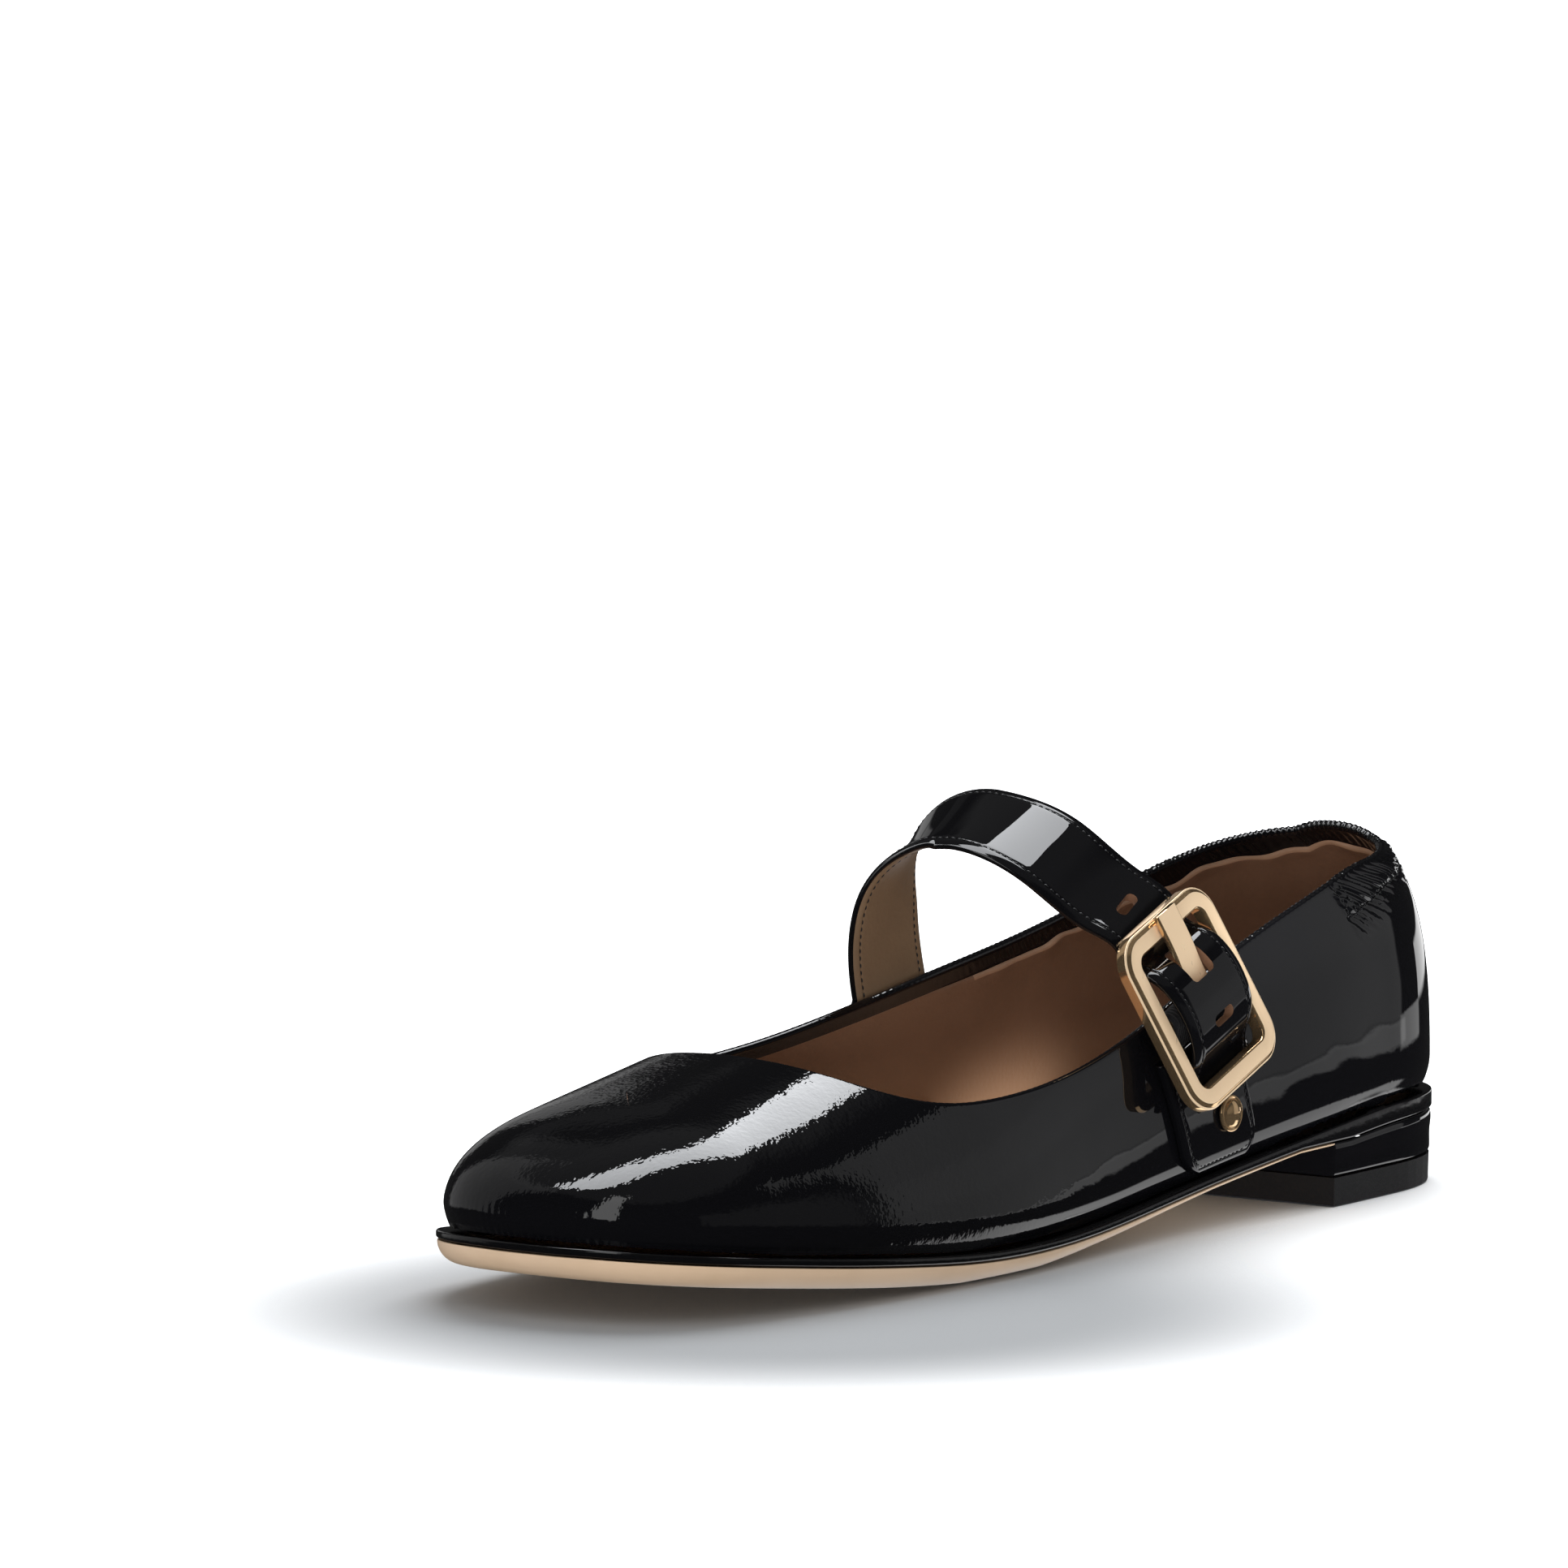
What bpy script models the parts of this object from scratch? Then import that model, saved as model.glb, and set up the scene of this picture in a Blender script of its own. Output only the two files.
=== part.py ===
"""A ballet flat with a buckled instep strap: one left shoe, standing empty on its sole.

The shoe is worked out in millimetres. A station u is the distance forward from the back of the heel,
y is positive towards the inner (medial) side of the foot, and z is the height above the floor.
In the model the toe points to -X, the buckle is on the -Y side, and the middle of the box is the origin.
"""
import math

import bmesh
import bpy
import numpy as np

MM = 0.001
LATERAL, MEDIAL = -1, 1

# The last, which gives the inside room: all lengths in millimetres.
LENGTH = 248.8          # back of the heel to the tip of the toe
TOE_CAP = 29.2          # length over which the toe rounds off
TOE_POWER = 2.6         # a soft square toe
HEEL_CAP = 30.0
HEEL_POWER = 2.2
THROAT = 194.5          # station of the front of the opening

# Half widths at the fullest part of the wall.
WIDTH = [  # u, lateral, medial
    (0, 26.0, 20.5),
    (25, 26.0, 23.0),
    (45, 28.0, 24.5),
    (70, 29.0, 23.5),
    (100, 30.0, 21.5),
    (130, 33.0, 24.5),
    (160, 36.5, 32.5),
    (178, 37.0, 36.0),
    (200, 36.5, 36.0),
    (225, 33.5, 32.5),
    (248, 31.5, 27.0),
]
SECTION = [  # u, height where the upper meets the sole, height of the ridge, fullness of the section
    (0, 16.8, 66.0, 3.2),
    (20, 16.8, 68.0, 3.0),
    (40, 15.6, 74.0, 2.75),
    (70, 12.4, 75.5, 2.55),
    (100, 8.6, 67.0, 2.5),
    (130, 5.6, 55.0, 2.4),
    (150, 5.0, 48.5, 2.3),
    (170, 5.4, 44.0, 2.3),
    (190, 6.9, 40.0, 2.3),
    (210, 8.8, 36.0, 2.35),
    (230, 10.9, 31.5, 2.65),
    (248, 12.7, 27.0, 3.1),
]
TOPLINE = [  # u, height of the opening's edge on the lateral side, on the medial side
    (0, 63.5, 63.5),
    (10, 63.0, 63.0),
    (20, 60.5, 61.0),
    (32, 59.0, 58.0),
    (50, 55.5, 53.5),
    (80, 47.0, 48.0),
    (110, 36.5, 44.0),
    (135, 31.0, 39.5),
    (155, 29.5, 35.5),
    (175, 31.0, 33.5),
    (188, 35.5, 35.5),
    (THROAT, 39.0, 39.0),
]
SOLE = [  # u, thickness of the tan outsole, thickness of the black rand, how far the rand stands out
    (0, 0.9, 3.4, 0.3),
    (45, 0.9, 3.2, 0.4),
    (62, 0.9, 1.7, 0.7),
    (90, 1.2, 1.4, 1.0),
    (130, 2.2, 1.4, 1.2),
    (150, 3.1, 1.4, 1.3),
    (170, 3.5, 1.4, 1.3),
    (190, 3.7, 1.4, 1.3),
    (232, 3.8, 1.4, 1.2),
    (248, 3.8, 1.4, 0.5),
]

WALL = 1.8              # patent leather and its lining
GAP = 0.3               # clearance between pieces that touch
TUCK = 1.6              # how far the wall turns in at the sole
TUCK_HEIGHT = 6.0
BREAST = 51.0           # station of the heel's front face
TOP_PIECE = 5.0         # rubber under the heel
HEEL_TAPER = 0.6
SOLE_BEVEL = 3.2        # the tan edge turns in by this much at the floor
SOLE_EDGE_LIFT = 0.5
INSOLE = 2.2

# The strap and what it fastens to.
STRAP_WIDTH = 20.4
STRAP = 1.8             # thickness
STRAP_STEP = 2.6        # mesh rows along it
STRAP_ARCH = [  # u, y, z, tilt in degrees, of the strap's middle from its sewn end over the instep
    (119.5, 16.0, 9.0, 0),
    (119.5, 16.0, 26.0, 4),
    (119.5, 19.5, 43.0, 15),
    (120.5, 19.5, 55.5, 28),
    (118.0, 16.5, 66.0, 33),
    (115.0, 11.0, 71.5, 27),
    (113.5, 2.0, 72.0, 23),
    (111.0, -9.5, 67.5, 26),
    (105.5, -19.0, 59.0, 24),
]
STRAP_IN_BUCKLE = [  # distance down the buckle from its middle, distance out of its plane
    (-15.4, -2.8),
    (-12.6, -2.8),
    (-10.4, -1.4),
    (-8.8, 0.8),
    (-5.5, 2.9),
    (-1.0, 3.7),
    (4.0, 3.1),
    (8.0, 1.0),
    (10.4, -1.5),
    (12.8, -2.7),
    (17.0, -2.7),
]
HOLES = [  # distance up the strap from the buckle's middle, width across, length along
    (-5.0, 6.2, 2.2),
    (6.2, 7.0, 7.6),    # the hole in use is pulled long by the prong
    (21.6, 6.2, 2.2),
]

BUCKLE_AT = (97.2, -31.3, 41.6)
BUCKLE_TURN = 4.0       # degrees about the upright
BUCKLE_TILT = 21.0      # its rear side is higher
BUCKLE_LEAN = 18.0      # its top leans in over the instep
BUCKLE = (29.8, 34.2)   # outer width and height
BUCKLE_BAR = (4.0, 3.0)  # width and depth of its bars
BUCKLE_ROUND = 6.0
BUCKLE_EDGE = 0.5
PIN_RADIUS = 1.1
PIN_OUT = -0.4

PRONG_WIDTH = 6.2
PRONG = 1.2
PIN_ROOM = 0.2

TAB_AT = 88.0           # middle of its foot
TAB_LEAN = 0.29
TAB_WIDTH = 22.4
TAB = 1.6
TAB_ROUND = 6.0
TAB_BELOW_TOPLINE = 6.9
TAB_ABOVE_SOLE = 1.0

ELASTIC = 0.8
ELASTIC_WIDTH = 20.0
ELASTIC_FOOT = (5.4, -3.35)  # where its two layers end: down the buckle, and out of it

STUD_AT = (87.6, 20.6)  # station and height
STUD_RADIUS = 3.3
STUD_HEIGHT = 1.8

# The middle of the box: half of the length with the rand, and half of the difference
# between what the buckle and the ball of the foot reach to each side.
MID_U = 124.5
MID_Y = -0.4

SIDE_POINTS = 56        # mesh columns from toe to heel on each side
VAMP_POINTS = 15        # columns that end on the ridge, ahead of the throat
WALL_ROWS = 12          # mesh rows from the sole to the edge of the opening
END_CROWDING = 0.35


# ---------------------------------------------------------------- small mathematics

def smooth_curve(table, column, at):
    """Natural cubic spline through one column of a table whose first column is the station."""
    x = np.array([row[0] for row in table], float)
    y = np.array([row[column] for row in table], float)
    at = np.clip(np.asarray(at, float), x[0], x[-1])
    step = np.diff(x)
    count = len(x)
    matrix = np.eye(count)
    right = np.zeros(count)
    for i in range(1, count - 1):
        matrix[i, i - 1:i + 2] = step[i - 1], 2 * (step[i - 1] + step[i]), step[i]
        right[i] = 6 * ((y[i + 1] - y[i]) / step[i] - (y[i] - y[i - 1]) / step[i - 1])
    bend = np.linalg.solve(matrix, right)
    i = np.clip(np.searchsorted(x, at) - 1, 0, count - 2)
    before, after = at - x[i], x[i + 1] - at
    cubic = (bend[i] * after ** 3 + bend[i + 1] * before ** 3) / (6 * step[i])
    first = (y[i] / step[i] - bend[i] * step[i] / 6) * after
    last = (y[i + 1] / step[i] - bend[i + 1] * step[i] / 6) * before
    return cubic + first + last


def straight(table, column, at):
    return np.interp(at, [row[0] for row in table], [row[column] for row in table])


def unit(vectors):
    vectors = np.asarray(vectors, float)
    return vectors / np.linalg.norm(vectors, axis=-1, keepdims=True)


# ---------------------------------------------------------------- the last

def middle(u):
    return (smooth_curve(WIDTH, 2, u) - smooth_curve(WIDTH, 1, u)) / 2


def half_width(u):
    return (smooth_curve(WIDTH, 2, u) + smooth_curve(WIDTH, 1, u)) / 2


def seat(u):
    return smooth_curve(SECTION, 1, u)


def ridge(u):
    return smooth_curve(SECTION, 2, u)


def fullness(u):
    return smooth_curve(SECTION, 3, u)


def topline(u, side):
    return smooth_curve(TOPLINE, 1 if side == LATERAL else 2, u)


def cap_ends(u):
    """How far a station lies into the round of the toe and of the heel, from 0 to 1."""
    toe = np.clip((u - (LENGTH - TOE_CAP)) / TOE_CAP, 0, None)
    heel = np.clip((HEEL_CAP - u) / HEEL_CAP, 0, None)
    return toe, heel


def spread(u, y):
    """0 on the ridge of the last and 1 on its outline, seen from above."""
    across = np.abs((y - middle(u)) / half_width(u))
    toe, heel = cap_ends(u)
    at_toe = (across ** TOE_POWER + toe ** TOE_POWER) ** (1 / TOE_POWER)
    at_heel = (across ** HEEL_POWER + heel ** HEEL_POWER) ** (1 / HEEL_POWER)
    return np.where(toe > 0, at_toe, at_heel)


def last_height(u, y):
    m = fullness(u)
    out = np.clip(spread(u, y), 0, 1)
    return seat(u) + (ridge(u) - seat(u)) * (1 - out ** m) ** (1 / m)


def wall_y(u, z, side):
    """Where the last's wall stands at a station and a height."""
    m = fullness(u)
    rise = np.clip((z - seat(u)) / (ridge(u) - seat(u)), 0, 1)
    out = (1 - rise ** m) ** (1 / m)
    toe, heel = cap_ends(u)
    cap = np.clip(out ** HEEL_POWER - heel ** HEEL_POWER, 0, None) ** (1 / HEEL_POWER)
    nose = np.clip(out ** TOE_POWER - toe ** TOE_POWER, 0, None) ** (1 / TOE_POWER)
    return middle(u) + side * half_width(u) * np.where(toe > 0, nose, cap) - side * tuck(u, z)


def tuck(u, z):
    """How far the wall has turned in towards the sole at a height."""
    return TUCK * np.clip(1 - (z - seat(u)) / TUCK_HEIGHT, 0, 1) ** 2


def denser_at_ends(count):
    """Shares from 0 to 1 that lie closer together at both ends."""
    share = np.linspace(0, 1, count)
    return share - END_CROWDING * np.sin(2 * np.pi * share) / (2 * np.pi)


def outline(side, count):
    """Points from the middle of the toe to the middle of the heel, closer together at both."""
    turn = np.linspace(0, np.pi / 2, 200)
    toe_u = LENGTH - TOE_CAP * (1 - np.cos(turn) ** (2 / TOE_POWER))
    heel_u = HEEL_CAP * (1 - np.sin(turn) ** (2 / HEEL_POWER))
    side_u = np.linspace(LENGTH - TOE_CAP, HEEL_CAP, 300)[1:-1]
    u = np.concatenate([toe_u, side_u, heel_u])
    reach = np.concatenate([np.sin(turn) ** (2 / TOE_POWER), np.ones(298), np.cos(turn) ** (2 / HEEL_POWER)])
    y = middle(u) + side * half_width(u) * reach
    return along(np.stack([u, y], 1), denser_at_ends(count))


def along(points, shares):
    """Points on a line at shares of its length."""
    run = np.concatenate([[0], np.cumsum(np.hypot(*np.diff(points, axis=0).T))])
    at = run[-1] * shares
    return np.stack([np.interp(at, run, points[:, 0]), np.interp(at, run, points[:, 1])], 1)


def out_of(points, side, distance):
    """Move an outline outwards; distance may be a number or one for each point."""
    tangent = np.gradient(points, axis=0)
    tangent[0, 0] = tangent[-1, 0] = 0
    normal = unit(np.stack([-tangent[:, 1], tangent[:, 0]], 1)) * -side
    return points + normal * np.reshape(distance, (-1, 1))


# ---------------------------------------------------------------- meshes

def shoe(u, y, z):
    """Shoe measures to model coordinates, still in millimetres."""
    u, y, z = np.broadcast_arrays(np.asarray(u, float), y, z)
    return np.stack([MID_U - u, y - MID_Y, z], -1)


def grid_faces(rows, columns, start=0):
    faces = []
    for i in range(rows - 1):
        for j in range(columns - 1):
            a = start + i * columns + j
            faces.append((a, a + 1, a + columns + 1, a + columns))
    return faces


def vertex_normals(points, faces):
    normals = np.zeros_like(points)
    for face in faces:
        a, b, c, d = points[list(face[:3]) + [face[-1]]]
        normal = np.cross(c - a, d - b) if len(face) == 4 else np.cross(b - a, c - a)
        for corner in face:
            normals[corner] += normal
    return unit(normals)


def thicken(points, faces, inwards, outwards=0.0):
    """A skin of points becomes a closed solid, from -inwards to +outwards along its normals."""
    normals = vertex_normals(points, faces)
    count = len(points)
    both = np.concatenate([points + normals * outwards, points - normals * inwards])
    solid = list(faces) + [tuple(count + i for i in reversed(face)) for face in faces]
    edges = {}
    for face in faces:
        for a, b in zip(face, face[1:] + face[:1]):
            edges[(a, b)] = True
    for a, b in edges:
        if (b, a) not in edges:
            solid.append((b, a, a + count, b + count))
    return both, solid


def weld(points, faces, near=0.01):
    """Join points that lie on one another, and drop what becomes flat."""
    keys = {}
    order = []
    kept = []
    for point in points:
        key = tuple(np.round(point / near).astype(int))
        if key not in keys:
            keys[key] = len(kept)
            kept.append(point)
        order.append(keys[key])
    clean = []
    for face in faces:
        face = [order[i] for i in face]
        face = tuple(a for i, a in enumerate(face) if a != face[i - 1])
        if len(set(face)) >= 3:
            clean.append(face)
    return np.array(kept), clean


def leather_like(name, colour, roughness, metallic=0.0):
    material = bpy.data.materials.new(name)
    material.use_nodes = True
    shader = material.node_tree.nodes["Principled BSDF"]
    shader.inputs["Base Color"].default_value = (*colour, 1)
    shader.inputs["Roughness"].default_value = roughness
    shader.inputs["Metallic"].default_value = metallic
    material.diffuse_color = (*colour, 1)
    return material


def add_solid(name, points, faces, material, sharp=35.0):
    mesh = bpy.data.meshes.new(name)
    mesh.from_pydata([tuple(p) for p in np.asarray(points) * MM], [], [tuple(f) for f in faces])
    mesh.validate()
    shape = bmesh.new()
    shape.from_mesh(mesh)
    bmesh.ops.recalc_face_normals(shape, faces=shape.faces)
    shape.to_mesh(mesh)
    shape.free()
    for polygon in mesh.polygons:
        polygon.use_smooth = True
    mesh.set_sharp_from_angle(angle=math.radians(sharp))
    mesh.materials.append(material)
    part = bpy.data.objects.new(name, mesh)
    bpy.context.scene.collection.objects.link(part)
    return part


def cut_away(part, name, points, faces):
    """Cut a closed form out of a part; the cutter stays in the file, hidden."""
    cutter = add_solid(name, points, faces, part.data.materials[0])
    cutter.hide_render = True
    cutter.display_type = 'WIRE'
    cut = part.modifiers.new(name, 'BOOLEAN')
    cut.operation = 'DIFFERENCE'
    cut.solver = 'EXACT'
    cut.object = cutter


def layer(name, top, bottom, top_z, bottom_z, material, across=8):
    """A sole layer between two outlines, each a pair of lateral and medial points."""
    share = np.linspace(0, 1, across + 1)[None, :, None]
    points = []
    for (lateral, medial), height in ((top, top_z), (bottom, bottom_z)):
        plan = lateral[:, None] + (medial - lateral)[:, None] * share
        points.append(shoe(plan[..., 0], plan[..., 1], height(plan[..., 0], plan[..., 1])))
    rows, columns = points[0].shape[:2]
    count = rows * columns
    faces = grid_faces(rows, columns)
    faces += [tuple(reversed(face)) for face in grid_faces(rows, columns, count)]
    for i in range(rows - 1):
        for j in (0, columns - 1):
            a, b = i * columns + j, (i + 1) * columns + j
            faces.append((a, b, b + count, a + count))
    for i in (0, rows - 1):
        for j in range(columns - 1):
            a, b = i * columns + j, i * columns + j + 1
            faces.append((a, b, b + count, a + count))
    points, faces = weld(np.concatenate([p.reshape(-1, 3) for p in points]), faces)
    return add_solid(name, points, faces, material)


# ---------------------------------------------------------------- sole and heel

def sole_edge(side, inset=0.0, count=SIDE_POINTS):
    """Outline of the rand, or of what lies inset from it."""
    points = outline(side, count)
    return out_of(points, side, straight(SOLE, 3, points[:, 0]) - inset)


def ahead_of(points, station):
    """The part of an outline in front of a station, ending on it."""
    front = points[points[:, 0] > station + 0.5]
    order = np.argsort(points[:, 0])
    end = np.interp(station, points[order, 0], points[order, 1])
    return np.concatenate([front, [[station, end]]])


def behind(points, station):
    rear = points[points[:, 0] < station - 0.5]
    order = np.argsort(points[:, 0])
    start = np.interp(station, points[order, 0], points[order, 1])
    return np.concatenate([[[station, start]], rear])


def match(lateral, medial):
    """Give two outlines the same number of points, evenly spaced along each."""
    count = max(len(lateral), len(medial))
    pair = []
    for points in (lateral, medial):
        pair.append(along(points, np.linspace(0, 1, count)))
    return tuple(pair)


def rand_top(u, y):
    return seat(u) - GAP + 0 * y


def rand_bottom(u, y):
    return rand_top(u, y) - straight(SOLE, 2, u)


def outsole_top(u, y):
    return rand_bottom(u, y) - GAP


def outsole_bottom(u, y):
    across = np.abs((y - middle(u)) / half_width(u))
    floor = outsole_top(u, y) - straight(SOLE, 1, u)
    return np.maximum(floor, 0) + SOLE_EDGE_LIFT * np.clip(across - 0.5, 0, None) ** 2


def make_rand(material):
    edge = (sole_edge(LATERAL), sole_edge(MEDIAL))
    return layer("rand", edge, edge, rand_top, rand_bottom, material)


def make_outsole(material):
    def front(inset):
        return match(*(ahead_of(sole_edge(side, inset), BREAST + GAP) for side in (LATERAL, MEDIAL)))
    return layer("outsole", front(0.2), front(0.2 + SOLE_BEVEL), outsole_top, outsole_bottom, material)


def make_heel(block_material, rubber):
    def back(inset):
        return match(*(behind(sole_edge(side, inset), BREAST) for side in (LATERAL, MEDIAL)))

    def block_top(u, y):
        return rand_bottom(u, y) - GAP

    def level(height):
        return lambda u, y: height + 0 * u

    split = TOP_PIECE + GAP
    low = HEEL_TAPER * 0.7
    layer("heel_block", back(0.2), back(low), block_top, level(split), block_material, across=6)
    layer("heel_top_piece", back(low), back(HEEL_TAPER), level(TOP_PIECE), level(0.0), rubber, across=6)


# ---------------------------------------------------------------- upper and insole

def topline_points(side, count):
    """Points on the edge of the opening, from the throat to the back, closer together there."""
    part = np.linspace(0, 1, 600)
    u = THROAT * (1 - part ** 2)
    z = np.minimum(topline(u, side), ridge(u))
    m = fullness(u)
    rise = (z - seat(u)) / (ridge(u) - seat(u))
    out = (1 - rise ** m) ** (1 / m)
    back_u = HEEL_CAP * (1 - out[-1])
    keep = u > back_u
    u, z, out = u[keep], z[keep], out[keep]
    _, heel = cap_ends(u)
    reach = np.clip(out ** HEEL_POWER - heel ** HEEL_POWER, 0, None) ** (1 / HEEL_POWER)
    y = middle(u) + side * half_width(u) * reach
    y[0] = middle(THROAT)
    u, y = np.append(u, back_u), np.append(y, middle(back_u))
    share = np.linspace(0, 1, count)
    return along(np.stack([u, y], 1), share + END_CROWDING * share * (1 - share))


def wall_lines(side, columns=SIDE_POINTS, rows=WALL_ROWS):
    """Lines up the wall from the sole: to the ridge over the vamp, to the opening along the quarter."""
    foot = outline(side, columns)
    vamp = VAMP_POINTS * columns // SIDE_POINTS
    target = np.empty_like(foot)
    front = LENGTH - TOE_CAP
    target[:vamp + 1, 0] = np.linspace(front, THROAT, vamp + 1)
    target[:vamp + 1, 1] = middle(target[:vamp + 1, 0])
    target[vamp:] = topline_points(side, columns - vamp)
    steps = np.linspace(0, 1, rows)
    lines = np.empty((columns, rows, 3))
    for i in range(columns):
        line = foot[i] + (target[i] - foot[i]) * np.linspace(0, 1, 200)[:, None]
        z = last_height(line[:, 0], line[:, 1])
        run = np.concatenate([[0], np.cumsum(np.hypot(np.hypot(*np.diff(line, axis=0).T), np.diff(z)))])
        at = run[-1] * steps ** 1.25
        u, y = np.interp(at, run, line[:, 0]), np.interp(at, run, line[:, 1])
        lines[i] = np.stack([u, y, np.interp(at, run, z)], 1)
    inward = out_of(foot, side, -1.0) - foot
    shift = tuck(lines[..., 0], lines[..., 2])[..., None] * inward[:, None]
    lines[..., :2] += shift
    return lines


def upper_skin(columns=SIDE_POINTS, rows=WALL_ROWS):
    points, faces = [], []
    for side in (LATERAL, MEDIAL):
        lines = wall_lines(side, columns, rows)
        start = len(points) * columns * rows
        side_faces = grid_faces(columns, rows, start)
        if side == LATERAL:
            side_faces = [tuple(reversed(face)) for face in side_faces]
        faces += side_faces
        points.append(shoe(lines[..., 0], lines[..., 1], lines[..., 2]).reshape(-1, 3))
    points, faces = weld(np.concatenate(points), faces)
    return points, faces


def make_upper(material):
    points, faces = upper_skin()
    points, faces = thicken(points, faces, WALL)
    return add_solid("upper", points, faces, material, sharp=60)


def make_insole(material):
    def room(height):
        wall = TUCK * (1 - height / TUCK_HEIGHT) ** 2 + WALL + 2 * GAP
        return tuple(out_of(outline(side, SIDE_POINTS), side, -wall) for side in (LATERAL, MEDIAL))

    def bottom(u, y):
        return seat(u) + 0 * y

    def top(u, y):
        return seat(u) + INSOLE + 0 * y

    return layer("insole", room(INSOLE), room(0.0), top, bottom, material, across=6)


# ---------------------------------------------------------------- buckle

def buckle_axes():
    """Directions across the buckle towards the heel, down it, and out of its face."""
    turn, tilt, lean = (math.radians(angle) for angle in (BUCKLE_TURN, BUCKLE_TILT, BUCKLE_LEAN))
    across = np.array([math.cos(tilt) * math.cos(turn), math.cos(tilt) * math.sin(turn), math.sin(tilt)])
    down = np.array([0, 0, -1.0])
    down = unit(down - across * (down @ across))
    out = np.cross(down, across)
    down = down * math.cos(lean) + out * math.sin(lean)
    return across, down, np.cross(down, across)


def from_buckle(across, down, out):
    """Buckle measures to model coordinates."""
    across, down, out = np.broadcast_arrays(np.asarray(across, float), down, out)
    axes = buckle_axes()
    return shoe(*BUCKLE_AT) + across[..., None] * axes[0] + down[..., None] * axes[1] + out[..., None] * axes[2]


def rounded_rectangle(width, height, radius, corner=7):
    """Points around a rectangle with round corners."""
    points = []
    for quarter, (right, up) in enumerate(((1, 1), (-1, 1), (-1, -1), (1, -1))):
        angles = (quarter + np.linspace(0, 1, corner)) * math.pi / 2
        centre = np.array([right * (width / 2 - radius), up * (height / 2 - radius)])
        points.append(centre + radius * np.stack([np.cos(angles), np.sin(angles)], 1))
    return np.concatenate(points)


def closed_loops(loops, capped):
    """Faces that join a list of equal closed loops, capped at the ends or closed on themselves."""
    count, size = len(loops), len(loops[0])
    faces = []
    for i in range(count if not capped else count - 1):
        for j in range(size):
            k = (j + 1) % size
            n = (i + 1) % count
            faces.append((i * size + j, i * size + k, n * size + k, n * size + j))
    if capped:
        faces.append(tuple(reversed(range(size))))
        faces.append(tuple((count - 1) * size + j for j in range(size)))
    return np.concatenate(loops), faces


def make_buckle(material):
    width, height = BUCKLE
    bar, depth = BUCKLE_BAR
    e, half = BUCKLE_EDGE, depth / 2
    profile = [(e, -half), (0, e - half), (0, half - e), (e, half),
               (bar - e, half), (bar, half - e), (bar, e - half), (bar - e, -half)]
    loops = []
    for inset, out in profile:
        ring = rounded_rectangle(width - 2 * inset, height - 2 * inset, BUCKLE_ROUND - inset)
        loops.append(from_buckle(ring[:, 0], ring[:, 1], out))
    points, faces = closed_loops(loops, capped=False)
    frame = add_solid("buckle_frame", points, faces, material)
    pin = frame.modifiers.new("pin", 'BOOLEAN')
    pin.operation = 'UNION'
    pin.solver = 'EXACT'
    points, faces = rod(PIN_RADIUS, width / 2 - bar / 2, PIN_OUT, 16)
    pin.object = add_solid("buckle_pin", points, faces, material)
    pin.object.hide_render = True
    pin.object.display_type = 'WIRE'


def rod(radius, reach, out, sides):
    """A round bar across the buckle, level with its middle."""
    angles = np.arange(sides) * 2 * math.pi / sides
    loops = [from_buckle(end, radius * np.cos(angles), out + radius * np.sin(angles)) for end in (-reach, reach)]
    return closed_loops(loops, capped=True)


def make_prong(material):
    """A flat arm that rests on the buckle's top bar, with its end curled round the pin."""
    tip = BUCKLE[1] / 2 + 0.2
    rest = BUCKLE_BAR[1] / 2 + GAP + PRONG / 2
    curl = PIN_RADIUS + PIN_ROOM + PRONG / 2
    path = [(-tip, rest), (-tip + BUCKLE_BAR[0], rest), (-9.0, rest - 0.2), (-5.0, rest - 0.6)]
    for angle in np.radians(np.linspace(10, 230, 12)):
        path.append((curl * math.sin(angle), PIN_OUT + curl * math.cos(angle)))
    path = np.array(path)
    edges = np.array([-PRONG_WIDTH / 2, PRONG_WIDTH / 2])
    skin = from_buckle(edges[None, :], path[:, :1], path[:, 1:]).reshape(-1, 3)
    points, faces = thicken(skin, grid_faces(len(path), 2), PRONG / 2, PRONG / 2)
    add_solid("prong", points, faces, material)


# ---------------------------------------------------------------- strap, tab, elastic and stud

def strap_path():
    """The strap's middle line and how far each place is tilted, evenly spaced."""
    arch = np.array(STRAP_ARCH, float)
    places = np.concatenate([shoe(arch[:, 0], arch[:, 1], arch[:, 2]),
                             from_buckle(0, *np.array(STRAP_IN_BUCKLE).T)])
    tilts = np.concatenate([arch[:, 3], np.full(len(STRAP_IN_BUCKLE), BUCKLE_TILT)])
    run = np.concatenate([[0], np.cumsum(np.linalg.norm(np.diff(places, axis=0), axis=1))])
    at = np.arange(0, run[-1], STRAP_STEP)
    at = np.append(at, run[-1])
    tables = [list(zip(run, values)) for values in (*places.T, tilts)]
    x, y, z, tilt = (smooth_curve(table, 1, at) for table in tables)
    middle_run = run[len(arch) + STRAP_IN_BUCKLE.index((-1.0, 3.7))]
    return np.stack([x, y, z], 1), np.radians(tilt), at - middle_run


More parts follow.
